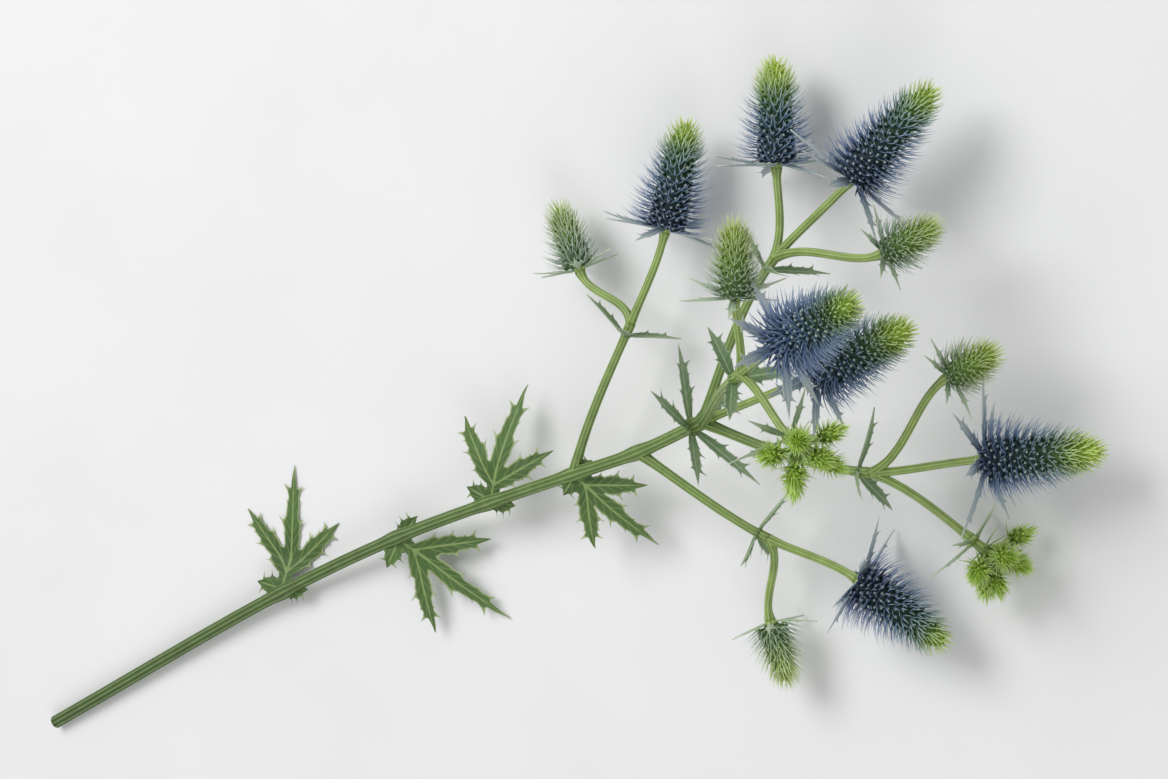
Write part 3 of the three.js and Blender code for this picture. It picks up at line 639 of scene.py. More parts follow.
def paper():
    """Uncoated backdrop paper, rolled smooth: pale and matt, with faint clouds of about 90 mm."""

    def lay_out(tree):
        tone = add(tree, "ValToRGB", {IN: mottle(tree, 90, 3)}, [(0.3, "#ebebec"), (0.7, "#efeff0")])
        return {"Base Color": tone, "Roughness": 0.9}

    return finish("matt_pale_paper", lay_out, PAPER_IOR)


HEAD_FINISHES = {
    kind: Form(spine=bracteole(kind), bud=bud(kind), sepal=sepal(kind), core=seat(kind))
    for kind in ("ripe", "young", "cluster")
}
STALK_SKIN = stalk_skin()
CUT_FACE = cut_face()
BRACT_FINISHES = {
    "ripe": leafy("silvery_bract", ("#8197a6", "#9bacb6"), "#b9c3bd", "#c9d4d4", "#dfe6e0", 7),
    "young": leafy("pale_green_bract", ("#92ad8f", "#aac19f"), "#c2d0b4", "#ccd8bd", "#e4ebd8", 6),
    "cluster": leafy("grey_green_bract", ("#839e80", "#9ab28f"), "#b6c6a8", "#c1cfb0", "#dee6d0", 6),
}
LEAFLET_BLADE = leafy("waxy_green_leaflet", ("#64855a", "#7f9b70"), "#93a985", "#b6c6a0", "#d5dfc6", 7)
LEAF_BLADE = leafy("waxy_dark_leaf", ("#3b5628", "#4e6c34"), "#57753f", "#8ea364", "#b5c38d", 11, 22)

# ---- Shapes --------------------------------------------------------------------------------------------


def spaced(line, count):
    """The same line with that many points, evenly spaced."""
    reach = np.concatenate([[0], np.cumsum(np.linalg.norm(np.diff(line, axis=0), axis=1))])
    at = np.linspace(0, reach[-1], count)
    return np.stack([np.interp(at, reach, line[:, k]) for k in range(3)], -1)


def arc(a, leave, b, arrive):
    """A smooth curve that leaves a along one direction and arrives at b along another."""
    a, b = np.array(a, float), np.array(b, float)
    pull = np.linalg.norm(b - a) / 3
    corners = [a, a + unit(leave) * pull, b - unit(arrive) * pull, b]
    t = np.linspace(0, 1, 80)[:, None]
    weights = [(1 - t) ** 3, 3 * t * (1 - t) ** 2, 3 * t * t * (1 - t), t**3]
    return sum(weight * corner for weight, corner in zip(weights, corners))


def smooth_through(knots):
    """A centripetal Catmull-Rom curve through the knots."""
    knots = [np.array(k, float) for k in knots]
    knots = [2 * knots[0] - knots[1], *knots, 2 * knots[-1] - knots[-2]]
    t = np.linspace(0, 1, 40, endpoint=False)[:, None]
    line = []
    for p0, p1, p2, p3 in zip(knots, knots[1:], knots[2:], knots[3:]):
        d0, d1, d2 = (math.sqrt(np.linalg.norm(b - a)) for a, b in ((p0, p1), (p1, p2), (p2, p3)))
        m1 = ((p1 - p0) / d0 - (p2 - p0) / (d0 + d1) + (p2 - p1) / d1) * d1
        m2 = ((p2 - p1) / d1 - (p3 - p1) / (d1 + d2) + (p3 - p2) / d2) * d1
        c2, c3 = -3 * p1 + 3 * p2 - 2 * m1 - m2, 2 * p1 - 2 * p2 + m1 + m2
        line.append(p1 + m1 * t + c2 * t**2 + c3 * t**3)
    return np.concatenate([*line, knots[-2][None]])


def tube(line, radius, sides, ribs, rib_depth):
    """Rings round a line. radius is a number for each point of the line."""
    along = unit(np.gradient(line, axis=0))
    across = [unit(np.cross(along[0], UP))]
    for direction in along[1:]:
        carried = across[-1] - direction * np.dot(across[-1], direction)
        across.append(unit(carried))
    across = np.array(across)
    beside = np.cross(along, across)
    angle = np.linspace(0, 2 * math.pi, sides, endpoint=False)
    r = radius[:, None] * (1 + rib_depth * np.cos(ribs * angle))[None]
    out = np.cos(angle)[None, :, None] * across[:, None] + np.sin(angle)[None, :, None] * beside[:, None]
    return line[:, None] + r[..., None] * out


def folded_turn(sides):
    """How far round each side of a tube is, from 0 at one line to 1 opposite it, so the map has no seam."""
    turn = np.arange(sides) / sides
    return 1 - np.abs(1 - 2 * turn)


def lathe(profile, sides):
    """Rings round local Z through (radius, height) points."""
    r, z = np.array(profile, float).T[..., None]
    angle = np.linspace(0, 2 * math.pi, sides, endpoint=False)
    return np.stack([r * np.cos(angle), r * np.sin(angle), np.repeat(z, sides, 1)], -1)


# How the teeth sit on a blade, in shares of its length: the room before the first large one as a share of
# the room between two, and where the small ones start. Each has its size as a share of a large one, and the
# reach of its point along the blade.
TEETH = Form(first=0.9, past_foot=0.1, past_large=0.12, small=(0.34, 0.045), large=(1, 0.1))
NOTCH = Form(past=0.08, fade=0.08, depth=0.25)  # what each large tooth leaves behind it
FOOT_OF_BOW = 0.16  # where along its bow a blade starts, so that its foot has a width
Tooth = namedtuple("Tooth", "at size reach")


def teeth_of(blade, small_teeth):
    """The teeth on one side of a blade, from its foot to its point, which is a plain spine."""
    larges = [(k + TEETH.first) / (blade.teeth + TEETH.first) for k in range(blade.teeth)]
    teeth = []
    for before, large in zip([0, *larges], larges):
        begin = before + TEETH.past_large if before else TEETH.past_foot
        for j in range(small_teeth):
            teeth.append(Tooth(lerp(begin, large, (j + 1) / (small_teeth + 1)), *TEETH.small))
        teeth.append(Tooth(large, *TEETH.large))
    return teeth


def outline(blade, small_teeth):
    """One side of a toothed blade: where its edge and midrib are along it, and how far out the edge is."""
    teeth = teeth_of(blade, small_teeth)
    notches = [tooth.at + NOTCH.past for tooth in teeth if tooth.size == 1]
    last = notches[-1]

    def full(share):
        return blade.half_width * math.sin(math.pi * (FOOT_OF_BOW + (1 - FOOT_OF_BOW) * share))

    def margin(share):
        if share > last:
            return (1 - NOTCH.depth) * full(last) * ((1 - share) / (1 - last)) ** 0.85
        notch = sum(NOTCH.depth * math.exp(-(share - at) / NOTCH.fade) for at in notches if share > at)
        return full(share) * (1 - min(notch, NOTCH.depth))

    rows = []  # where the edge is, how far out, and where the midrib is
    here = 0
    for tooth in teeth:
        back = 0.8 * tooth.reach
        height = tooth.size * blade.tooth
        for share in np.linspace(here, tooth.at, 4, endpoint=False):
            rows.append((share, margin(share), share))
        # Up the tooth's curved front to its point, then part of the way down its back.
        for t in (0, 0.5, 1):
            out = margin(tooth.at) + height * t**1.7
            rows.append((tooth.at + tooth.reach * t, out, tooth.at + back * 0.5 * t))
        out = margin(tooth.at + back) + 0.3 * height
        rows.append((tooth.at + tooth.reach * 0.72, out, tooth.at + back * 0.75))
        here = tooth.at + back
    for share in np.linspace(here, 1, 7):
        rows.append((share, margin(min(share, 0.998)), share))
    return np.array(rows).T


ACROSS = np.array([-1, -0.84, -0.5, -0.1, 0, 0.1, 0.5, 0.84, 1])  # where a blade's points are across it


def blade_sheet(length, blade, small_teeth, fold=0.0):
    """The middle surface of a blade along +X, with each point's share along it and across it."""
    edge, out, rib = outline(blade, small_teeth)
    lead = np.abs(ACROSS) ** 1.4
    x = length * (rib[:, None] + (edge - rib)[:, None] * lead)
    y = out[:, None] * ACROSS
    sheet = np.stack([x, y, fold * np.abs(y)], -1)
    shares = np.stack(np.broadcast_arrays(rib[:, None], np.abs(ACROSS)[None]), -1)
    return sheet, shares


BLADE_THICKNESS, BLADE_KEEL = 0.5, 0.35
HALF_EDGE = 0.05  # half a blade's thickness at its edge
POINTED = 0.8  # how much of the midrib's height is gone at a blade's point


def add_blade(skin, sheet, shares, finish):
    """A blade round its middle surface: thin at its edges, its midrib raised above and a keel below."""
    sheet = settled(sheet)
    along = np.gradient(sheet[:, len(ACROSS) // 2], axis=0)
    normal = np.cross(along, sheet[:, -1] - sheet[:, 0])
    normal[-1] = normal[-2]
    normal = unit(normal)[:, None]
    thin = 1 - shares[..., 1] ** 1.5
    half = (HALF_EDGE + (BLADE_THICKNESS / 2 - HALF_EDGE) * thin)[..., None]
    rib = np.exp(-((shares[..., 1] / 0.1) ** 2)) * (1 - POINTED * shares[..., 0])
    keel = (BLADE_KEEL * rib)[..., None]
    top = sheet + normal * (half + 0.25 * keel)
    bottom = sheet - normal * (half + keel)
    rings = on_surface(np.concatenate([top, bottom[:, ::-1]], 1))
    around = np.concatenate([shares, shares[:, ::-1]], 1)
    skin.rings(rings[None], on_map(around[..., 0], around[..., 1])[None], finish)


def add_blades(skin, matrix, ring, foot, blade, variety, finish, draw, own):
    """A ring of blades, with their feet at this radius and height."""
    foot_r, foot_z = foot
    for i in range(ring.count):
        slope = lerp(*ring.slopes, draw())
        length = ring.length * lerp(*variety.lengths, draw()) + ROOT_DEPTH
        angle = (i + variety.stray * (draw() - 0.5)) * 2 * math.pi / ring.count
        sheet, shares = blade_sheet(length, blade, 1, variety.fold)
        x = sheet[..., 0]
        curl, sway = own.uniform(*variety.curl), own.uniform(*variety.sway)
        sheet[..., 1] += sway * x * x / length
        sheet[..., 2] += foot_z + slope * np.maximum(0, x - ROOT_DEPTH) + curl * x * x / length
        sheet[..., 0] += foot_r - ROOT_DEPTH
        add_blade(skin, moved(matrix, turn_z(sheet, angle)), shares, finish)


def fused(sheets):
    """Flat blades fused to one: its points, its triangles, and the edges round it."""
    spots, loops, total = [], [], 0
    for sheet in sheets:
        order = np.arange(sheet[..., 0].size).reshape(sheet.shape[:2]) + total
        loops.append([*order[:, -1].tolist(), *order[::-1, 0].tolist()])
        spots += [Vector(spot) for spot in sheet[..., :2].reshape(-1, 2)]
        total = len(spots)
    triangles_inside, weld = 1, 0.02
    points, _, faces, *_ = delaunay_2d_cdt(spots, [], loops, triangles_inside, weld)
    used, faces = np.unique(np.array(faces), return_inverse=True)
    faces = faces.reshape(-1, 3)
    edges = np.concatenate([faces[:, [0, 1]], faces[:, [1, 2]], faces[:, [2, 0]]])
    _, kind, count = np.unique(np.sort(edges, axis=1), axis=0, return_inverse=True, return_counts=True)
    return np.array(points)[used], faces, edges[count[kind.ravel()] == 1]


def from_lines(points, starts, ends):
    """How far each point is from the nearest of some lines, which one that is, and its share along it."""
    way = ends - starts
    share = np.clip(((points[:, None] - starts) * way).sum(-1) / (way**2).sum(-1), 0, 1)
    far = np.linalg.norm(points[:, None] - starts - share[..., None] * way, axis=-1)
    nearest = far.argmin(1)
    rows = np.arange(len(points))
    return far[rows, nearest], nearest, share[rows, nearest]


# ---- Stalks --------------------------------------------------------------------------------------------


def swelling(away, height, reach):
    """How much a swelling adds to a radius this far from its middle."""
    return height * np.exp(-((away / reach) ** 2))


def add_stalk(skin, line, stalk, knots=()):
    """A ribbed stalk along a line, thicker at its ends and its knots."""
    line = spaced(line, stalk.steps)
    share = np.linspace(0, 1, stalk.steps)
    radius = lerp(stalk.foot_r, stalk.end_r, share)
    radius += swelling(share, *stalk.foot_swell) + swelling(1 - share, *stalk.end_swell)
    if knots:
        nearest = np.min([np.linalg.norm(line - knot, axis=1) for knot in knots], 0)
        radius += swelling(nearest, *KNOT)
    rings = on_surface(tube(line, radius, stalk.sides, stalk.ribs, stalk.rib_depth))
    along = np.linspace(*stalk.heights, stalk.steps)[:, None]
    around = folded_turn(stalk.sides)[None] * stalk.ribs / STALK.ribs  # so that the stripes follow the ribs
    skin.rings(rings[None], on_map(along, around)[None], STALK_SKIN)


def add_seat(skin, matrix, profile, along, ribs=STALK.ribs):
    """A lathed part in the stalk's skin, with the colour of this place along the map."""
    rings = moved(matrix, lathe(profile, SEAT_SIDES))
    around = folded_turn(SEAT_SIDES) * ribs / STALK.ribs
    places = np.stack([np.full(rings.shape[:2], along), np.broadcast_to(around, rings.shape[:2])], -1)
    skin.rings(rings[None], places[None], STALK_SKIN)


def dress_stem():
    skin = Skin()
    knots = [np.array(at, float) for name, at in JOINTS.items() if name != "foot"]
    add_stalk(skin, smooth_through(JOINTS.values()), STALK, knots)
    for fork in FORKS.values():
        if fork.start:
            add_stalk(skin, arc(JOINTS[fork.start], fork.leave, fork.at, fork.along), BRANCH)
    for head in [*HEADS, *CLUSTERS]:
        fork = FORKS[head.fork]
        start = np.array(fork.at, float)
        end = np.array(head.at) - unit(head.aim) * GAP
        leave = unit(end - start) + unit(fork.along)
        add_stalk(skin, arc(start, leave, end, head.aim), FLOWER_STALK)
    # The cut foot: a shallow dish of pith.
    foot, next_joint = np.array(JOINTS["foot"], float), np.array(JOINTS["low_leaf"], float)
    dish = on_surface(moved(placement(foot, next_joint - foot), lathe(FOOT_DISH, FOOT_SIDES)))
    from_middle = lerp(*MARGINS, np.array(FOOT_SHARES))[:, None]
    places = np.stack(np.broadcast_arrays(from_middle, folded_turn(FOOT_SIDES)), -1)
    skin.rings(dish[None, ::-1], places[None, ::-1], CUT_FACE)
    skin.piece("stalk", "stem", "stalk_green")


# ---- Heads ---------------------------------------------------------------------------------------------


def cone_radius(cone, share):
    """A ripe or young head's radius: a cone with a round top."""
    return cone.core_r * (1 - 0.36 * share) * np.sqrt(np.maximum(1 - share**7, 0))


def ball_radius(cone, share):
    """A small head's radius."""
    return cone.core_r * np.sqrt(np.maximum(1 - (2 * share - 1) ** 2, 0))


# What each kind of head has: its form, its finishes and its florets on a head of size 1.
KINDS = {
    "ripe": Form(radius_at=cone_radius, finishes=HEAD_FINISHES["ripe"], florets=272, **vars(RIPE)),
    "young": Form(radius_at=cone_radius, finishes=HEAD_FINISHES["young"], florets=166, **vars(YOUNG)),
    "small": Form(radius_at=ball_radius, finishes=HEAD_FINISHES["cluster"], florets=50, **vars(SMALL)),
}
# A floret's bud radius and sepal length. Its spine's half width, the share of that at the head's tip, its
# bend in radians, how far below the bud its root is, and its length as a share of the solids'.
LOOKS = {
    "ripe": Form(bud=0.64, sepal=1.8, width=0.47, tip_width=1.1, bend=0.34, drop=0.675, stretch=1.14),
    "young": Form(bud=0.52, sepal=1.3, width=0.35, tip_width=0.9, bend=0.26, drop=0.6, stretch=1.32),
    "small": Form(bud=0.5, sepal=0.8, width=0.38, tip_width=1, bend=0.14, drop=0.45, stretch=1.1),
}


def cone_of(kind, matrix, size=1.0, ripeness=0.0):
    """A head's cone, with all that its florets need to know of it."""
    cone = Form(**vars(KINDS[kind]), **vars(LOOKS[kind]), matrix=matrix, ripeness=ripeness)
    cone.length *= size
    cone.core_r *= math.sqrt(size)
    return cone


def floret_spots(cone, count, lowest=0.0):
    """Where florets sit in a spiral, closer near the tip: their shares up the head and their turns."""
    share = np.linspace(lowest, 1, 600)
    r = cone.radius_at(cone, share)
    strip = np.hypot(np.diff(r), np.diff(share) * cone.length) * (r[1:] + r[:-1]) / 2
    crowd = 1 + CROWDED.more * smoothstep(share[1:], CROWDED.start, CROWDED.full)
    room = np.concatenate([[0], np.cumsum(strip * crowd)])
    order = np.arange(count)
    return np.interp((order + 0.5) / count * room[-1], room, share), order * GOLDEN


def spines(skin, matrix, roots, turns, leans, lengths, width, bend, heights, finish, t=LONG_SPINE):
    """Curved, keeled spines. A root is in the head's own frame, a turn is round its axis, a lean is the rise
    from level, and bend is how much the lean grows from a spine's middle to its end."""
    lean = leans[:, None] + bend * (2 * t - 1)
    step = np.diff(t)[None] * lengths[:, None]
    middle = (lean[:, 1:] + lean[:, :-1]) / 2
    none = np.zeros((len(turns), 1))
    out = np.concatenate([none, np.cumsum(step * np.cos(middle), 1)], 1)[..., None]
    up = np.concatenate([none, np.cumsum(step * np.sin(middle), 1)], 1)[..., None]
    outward = level(turns)[:, None]
    aside = np.cross(UP, outward)
    line = roots[:, None] + out * outward + up * UP
    over = -np.sin(lean)[..., None] * outward + np.cos(lean)[..., None] * UP
    line, over, aside = settled(moved(matrix, line)), turned(matrix, over), turned(matrix, aside)
    half = (np.asarray(width).reshape(-1, 1) * (1 - t**1.7) + 0.02)[..., None]
    half = np.broadcast_to(half, line.shape[:2] + (1,))
    ring = [line + half * (a * aside + b * over) for a, b in SPINE_SECTION]
    height = np.asarray(heights)[:, None, None] + SPINE_APART * np.array([1, 0, -1, 0])
    places = on_strip("spine", t[None, :, None], height)
    skin.rings(np.stack(ring, 2)[..., ::-1, :], places[..., ::-1, :], finish)


def florets(skin, cone, shares, turns, own):
    """Florets at these spots: each with a bud, its sepals and the spine below it."""
    step = 1e-3
    rise = cone.radius_at(cone, shares - step) - cone.radius_at(cone, shares + step)
    facing = np.arctan(rise / (2 * step * cone.length))
    heights = np.clip(shares - cone.ripeness, 0, 1)
    outward = level(turns)
    seat = cone.radius_at(cone, shares)[:, None] * outward + (shares * cone.length)[:, None] * UP

    # Buds, which stand out of the cone and lean towards its tip.
    axis = rising(turns, np.minimum(facing + BUD.lean, BUD.steepest))
    aside = np.cross(UP, outward)
    over = np.cross(axis, aside)
    small = 1 - BUD.shrink * smoothstep(shares, *BUD.unripe)
    size = cone.bud * small * lerp(*BUD.sizes, own.random(len(turns)))
    local = lathe(BUD_RINGS, BUD.sides)[None] * size[:, None, None, None]
    frames = np.stack([over, aside, axis], 1)
    rings = seat[:, None, None] + np.einsum("nrsk,nkx->nrsx", local, frames)
    along = np.linspace(0, 1, len(BUD_RINGS))[None, :, None]
    places = on_strip("bud", along, heights[:, None, None] + BUD_APART * np.cos(np.arange(BUD.sides)))
    skin.rings(moved(cone.matrix, rings), places, cone.finishes.bud)

    # Sepals round each bud: three-sided, from a foot to a point.
    angle = (np.arange(SEPAL.count) * 2 * math.pi / SEPAL.count + SEPAL.turn)[None, :, None]
    round_bud = np.cos(angle) * over[:, None] + np.sin(angle) * aside[:, None]
    axis = axis[:, None]
    beside = np.cross(axis, round_bud)
    small = small[:, None, None]
    foot = seat[:, None] + round_bud * cone.bud * SEPAL.foot * small
    tip = foot + unit(axis + SEPAL.lean * round_bud) * cone.sepal * small
    foot_r = SEPAL.half_width * cone.sepal * small
    ring = []
    for middle, r in ((foot - SEPAL.sunk * axis, foot_r), (tip, SEPAL.point)):
        back = middle + SEPAL.thickness * r * round_bud
        ring.append(np.stack([back, middle - r * beside, middle + r * beside], 2))
    rings = np.stack(ring, 2).reshape(-1, 2, 3, 3)
    up = np.repeat(heights, SEPAL.count)[:, None, None] + BUD_APART * np.cos(np.arange(3))
    places = on_strip("sepal", np.array([0, 1])[None, :, None], up)
    skin.rings(moved(cone.matrix, rings), places, cone.finishes.sepal)

    # The spine below each floret.
    lean = np.radians(lerp(cone.lean_base, cone.lean_tip, shares**SPINE.leaning))
    lean += own.normal(0, SPINE.stray_lean, len(turns))
    reach = lerp(cone.spine_base, cone.spine_tip, shares**SPINE.lengthening)
    lengths = reach * cone.stretch * lerp(*SPINE.lengths, own.random(len(turns)))
    ways = turns + own.normal(0, SPINE.stray_turn, len(turns))
    roots = seat - cone.drop * np.cos(facing)[:, None] * UP - SPINE_SUNK * outward
    width = cone.width * lerp(1, cone.tip_width, smoothstep(shares, *SPINE.widening))
    spines(skin, cone.matrix, roots, ways, lean, lengths, width, cone.bend, heights, cone.finishes.spine)

    # The lower spines are three-pointed: two side points leave each one near its root.
    low = shares < SIDE.below
    ways, lean, lengths, width, heights = ways[low], lean[low], lengths[low], width[low], heights[low]
    forks = roots[low] + rising(ways, lean - cone.bend) * (SIDE.fork * lengths)[:, None]
    for turn in (-SIDE.turn, SIDE.turn):
        points = (forks, ways + turn, lean, lengths * SIDE.length, width * SIDE.width)
        spines(skin, cone.matrix, *points, cone.bend * SIDE.bend, heights, cone.finishes.spine, SHORT_SPINE)


def core(skin, cone, low, high, stack, sides):
    """The cone under the florets, from one share of its length to another."""
    share = np.linspace(low, high, stack)
    r = np.maximum(cone.radius_at(cone, np.minimum(share, 0.999)) - 0.15, 0.05)
    rings = lathe(np.stack([r, share * cone.length], -1), sides)
    heights = np.clip(share - cone.ripeness, 0, 1)[:, None]
    places = on_strip("core", folded_turn(sides)[None], heights)
    skin.rings(moved(cone.matrix, rings)[None], places[None], cone.finishes.core)


def dress_collar(prefix, number, matrix, kind, size, draw, own):
    """The small seat below a head and the toothed bracts that spread from it."""
    skin = Skin()
    add_seat(skin, matrix, COLLAR_SEAT, 0.97)
    ring = BRACTS[kind]
    ring = ring._replace(length=ring.length * size)
    foot = (COLLAR.disc_r, COLLAR.height / 2)
    add_blades(skin, matrix, ring, foot, FINE_BRACTS[kind], BRACT_VARIETY, BRACT_FINISHES[kind], draw, own)
    skin.piece(f"{prefix}bracts_{number}", f"{prefix}collar_{number}", "bract_silver")


def dress_head(head, order):
    draw = draws_from(SOLID_SEEDS["head"] + order)
    own = np.random.default_rng(FINE_SEEDS["head"] + order)
    matrix = placement(head.at, head.aim)
    dress_collar("", head.id, matrix, head.kind, head.size, draw, own)
    cone = cone_of(head.kind, above_collar(matrix), head.size, head.ripeness)
    shares, turns = floret_spots(cone, round(cone.florets * head.size))
    parts = [("", 0, 1, "floret_green")]
    if head.kind == "ripe":
        parts = [("", 0, LIME_FROM, "floret_blue"), ("_tip", LIME_FROM, 1, "floret_lime")]
    for ending, low, high, slot in parts:
        pick = (shares >= low) & (shares < high)
        skin = Skin()
        core(skin, cone, low, high, stack=30, sides=28)
        florets(skin, cone, shares[pick], turns[pick], own)
        skin.piece(f"florets_{head.id}{ending}", f"head_{head.id}{ending}", slot)


def add_plain_spines(skin, matrix, form, roots, turns, rises, lengths):
    """Spines of one width and colour in a cluster."""
    heights = np.full(form.count, form.height)
    finish = HEAD_FINISHES["cluster"].spine
    spines(skin, matrix, roots, turns, rises, lengths, form.width, form.bend, heights, finish)


def dress_cluster(cluster, order):
    draw = draws_from(SOLID_SEEDS["cluster"] + order)
    own = np.random.default_rng(FINE_SEEDS["cluster"] + order)
    matrix = placement(cluster.at, cluster.aim)
    dress_collar("cluster_", cluster.id, matrix, "cluster", 1, draw, own)
    lifted = above_collar(matrix)
    skin = Skin()
    # The stalk widens and divides into the short stalks of the small heads.
    add_seat(skin, lifted, CLUSTER_SEAT, 0.97, SHORT_STALK.ribs)
    seat = IN_CLUSTER.seat * UP
    for k in range(cluster.count):
        tilt = math.radians(IN_CLUSTER.widest) * math.sqrt((k + 0.35) / cluster.count)
        out = rising(GOLDEN * k, math.pi / 2 - tilt)
        reach = IN_CLUSTER.reach * lerp(*IN_CLUSTER.reaches, draw())
        for _ in range(IN_CLUSTER.draws):
            draw()
        foot, top = seat + 2 * out, seat + (reach - IN_CLUSTER.half_length) * out
        add_stalk(skin, moved(lifted, arc(foot, out + 0.5 * UP, top, out)), SHORT_STALK)
        cone = cone_of("small", lifted @ placement(top, out))
        shares, turns = floret_spots(cone, cone.florets, 0.06)
        core(skin, cone, 0.02, 1, stack=16, sides=20)
        florets(skin, cone, shares, turns, own)
        turns = np.arange(UNDER.count) * 2 * math.pi / UNDER.count + own.uniform(0, 1)
        rises, lengths = own.uniform(*UNDER.rises, UNDER.count), own.uniform(*UNDER.lengths, UNDER.count)
        add_plain_spines(skin, cone.matrix, UNDER, UNDER.foot * level(turns), turns, rises, lengths)
    # Long narrow bracts stand round and between the small heads.
    turns = np.arange(NARROW.count) * GOLDEN
    rises = np.radians(np.linspace(0, NARROW.steepest, NARROW.count))
    roots = seat * 0.8 + NARROW.foot * rising(turns, rises)
    lengths = own.uniform(*NARROW.lengths, NARROW.count)
    add_plain_spines(skin, lifted, NARROW, roots, turns, rises, lengths)
    skin.piece("small_heads_" + cluster.id, "cluster_" + cluster.id, "cluster_lime")


# ---- Leaflets and leaves -------------------------------------------------------------------------------


def dress_whorl(whorl, order):
    draw = draws_from(SOLID_SEEDS["whorl"] + order)
    own = np.random.default_rng(FINE_SEEDS["whorl"] + order)
    fork = FORKS[whorl.fork]
    stalk_r = STALK.end_r + KNOT[0] if whorl.parent == "stalk" else BRANCH.end_r
    ring_r = stalk_r + 1.6
    back = unit(fork.along) * (ring_r + 1.5)
    matrix = placement(np.array(fork.at) - back, fork.along)
    skin = Skin()
    inside, shoulder = stalk_r * 0.8, stalk_r + 0.4
    profile = [(inside, -1.6), (shoulder, -0.9), (ring_r - 0.5, 0.3), (shoulder, 1.1), (inside, 1.3)]
    add_seat(skin, matrix, profile, 0.5)
    ring = Ring(whorl.count, whorl.length, LEAFLET_SLOPES)
    add_blades(skin, matrix, ring, (ring_r, 0), FINE_LEAFLET, LEAFLET_VARIETY, LEAFLET_BLADE, draw, own)
    skin.piece("leaflets_" + whorl.id, "whorl_" + whorl.id, "leaflet_green")


# The lobes of a stem leaf: size and start are shares of the leaf's length.
Lobe = namedtuple("Lobe", "size start heading small_teeth")
LOBES = [
    Lobe(1, 0, 0, 1),
    Lobe(0.62, 0.15, 44, 1),
    Lobe(0.62, 0.15, -44, 1),
    Lobe(0.24, 0.02, 82, 0),
    Lobe(0.24, 0.02, -82, 0),
]
# Where the lobes part as a share of the length, the thickness, keel and fold, the midrib's half width, and
# the height of the margin's waves and the radians that they run through along the leaf.
LEAF = Form(palm=0.3, thickness=0.55, keel=0.6, fold=0.17, half_rib=0.5, wave=0.7, waves=19)


def dress_leaf(leaf, order):
    """A three-lobed stem leaf, with a small lobe on each side where it clasps the stalk."""
    own = np.random.default_rng(FINE_SEEDS["leaf"] + order)
    sheets, feet, tips = [], [], []
    for lobe in LOBES:
        length, heading = leaf.length * lobe.size, math.radians(lobe.heading)
        sheet, _ = blade_sheet(length, FINE_LOBE, lobe.small_teeth)
        foot = np.array([leaf.length * lobe.start, 0, 0])
        sheets.append(turn_z(sheet, heading) + foot)
        feet.append(foot[:2])
        tips.append(foot[:2] + length * np.array([math.cos(heading), math.sin(heading)]))
    flat, faces, rim = fused(sheets)

    to_rib, nearest, share = from_lines(flat, np.array(feet), np.array(tips))
    to_rim, *_ = from_lines(flat, flat[rim[:, 0]], flat[rim[:, 1]])
    across = to_rib / (to_rib + to_rim + 1e-6)
    sizes, starts = np.array([(lobe.size, lobe.start) for lobe in LOBES]).T
    along = starts[nearest] + share * sizes[nearest]

    x = flat[:, 0] / leaf.length
    foot_x, foot_y, foot_z = JOINTS[leaf.joint]
    height = lerp(foot_z, leaf.mid_z, smoothstep(x, 0.04, LEAF.palm))
    height = lerp(height, leaf.tip_z, np.clip((x - LEAF.palm) / (1 - LEAF.palm), 0, 1) ** 1.5)
    waves = LEAF.wave * across**2 * np.sin(along * LEAF.waves + own.uniform(0, 6))
    height += LEAF.fold * to_rib + waves
    middle = turn_z(np.column_stack([flat, height]), math.radians(leaf.heading)) + [foot_x, foot_y, 0]
    middle = settled(middle)
    half = HALF_EDGE + (LEAF.thickness / 2 - HALF_EDGE) * (1 - across**1.5)
    rib = LEAF.keel * np.exp(-((to_rib / LEAF.half_rib) ** 2)) * (1 - POINTED * share)
    top = middle + UP * (half + 0.3 * rib)[:, None]
    bottom = on_surface(middle - UP * (half + rib)[:, None])

    skin = Skin()
    places = on_map(along, across)
    below = len(flat)
    walls = np.stack([rim[:, 0], rim[:, 0] + below, rim[:, 1] + below, rim[:, 1]], -1)
    faces = [np.concatenate([faces, faces[:, ::-1] + below]), walls]
    skin.add(np.concatenate([top, bottom]), np.concatenate([places, places]), faces, LEAF_BLADE)
    skin.piece("leaf_blade_" + leaf.id, "leaf_" + leaf.id, "leaf_green")


# ---- The stage: camera, light and floor ----------------------------------------------------------------

# The camera looks down on the stem from the side of its heads, so that they tip towards it, and is rolled so
# that the stalk rises to the right across the picture.
CAMERA = Form(target=(0.068, 0.031, 0.03), azimuth=-10, elevation=60, roll=-103, distance=1.58, lens=118)
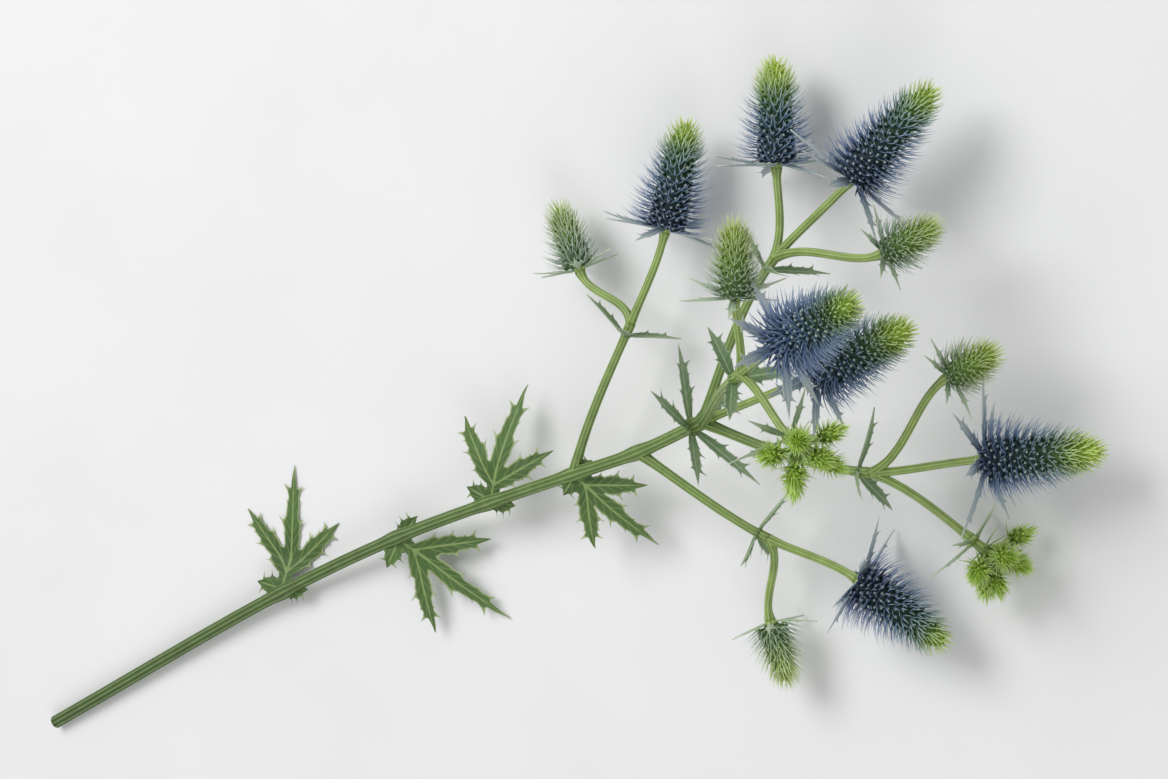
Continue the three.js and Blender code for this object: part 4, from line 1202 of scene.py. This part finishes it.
# Name, azimuth and elevation it shines from, distance, size and power.
SOFTBOXES = [("key_softbox", 100, 52, 2.2, 1.4, 28), ("fill_softbox", -80, 40, 2.2, 1.4, 8)]
STUDIO_COLOUR, STUDIO_LIGHT = "#f1f1f1", 0.56
FLOOR_SIZE = 8.0


def seen_from(azimuth, elevation, distance, target, roll=0):
    a, e = math.radians(azimuth), math.radians(elevation)
    way = Vector((math.cos(e) * math.cos(a), math.cos(e) * math.sin(a), math.sin(e)))
    turn = way.to_track_quat("Z", "Y") @ Quaternion((0, 0, 1), math.radians(roll))
    return Vector(target) + way * distance, turn.to_euler()


def set_stage():
    scene = bpy.context.scene
    lens = bpy.data.cameras.new("camera")
    lens.lens = CAMERA.lens
    camera = bpy.data.objects.new("camera", lens)
    camera.location, camera.rotation_euler = seen_from(
        CAMERA.azimuth, CAMERA.elevation, CAMERA.distance, CAMERA.target, CAMERA.roll
    )
    scene.collection.objects.link(camera)
    scene.camera = camera

    half = FLOOR_SIZE / 2
    corners = [(-half, -half, 0), (half, -half, 0), (half, half, 0), (-half, half, 0)]
    sheet = bpy.data.meshes.new("paper")
    sheet.from_pydata(corners, [], [(0, 1, 2, 3)])
    sheet.materials.append(paper())
    floor = bpy.data.objects.new("paper", sheet)
    scene.collection.objects.link(floor)

    for name, azimuth, elevation, distance, size, power in SOFTBOXES:
        light = bpy.data.lights.new(name, "AREA")
        light.shape, light.size, light.energy = "DISK", size, power
        softbox = bpy.data.objects.new(name, light)
        softbox.location, softbox.rotation_euler = seen_from(azimuth, elevation, distance, CAMERA.target)
        scene.collection.objects.link(softbox)

    world = bpy.data.worlds.new("studio")
    world.use_nodes = True
    background = world.node_tree.nodes["Background"]
    background.inputs["Color"].default_value = colour(STUDIO_COLOUR)
    background.inputs["Strength"].default_value = STUDIO_LIGHT
    scene.world = world
    scene.view_settings.view_transform = "Standard"


set_stage()
dress_stem()
dressers = [(dress_head, HEADS), (dress_cluster, CLUSTERS), (dress_whorl, WHORLS), (dress_leaf, LEAVES)]
for dress, plan in dressers:
    for order, item in enumerate(plan):
        dress(item, order)
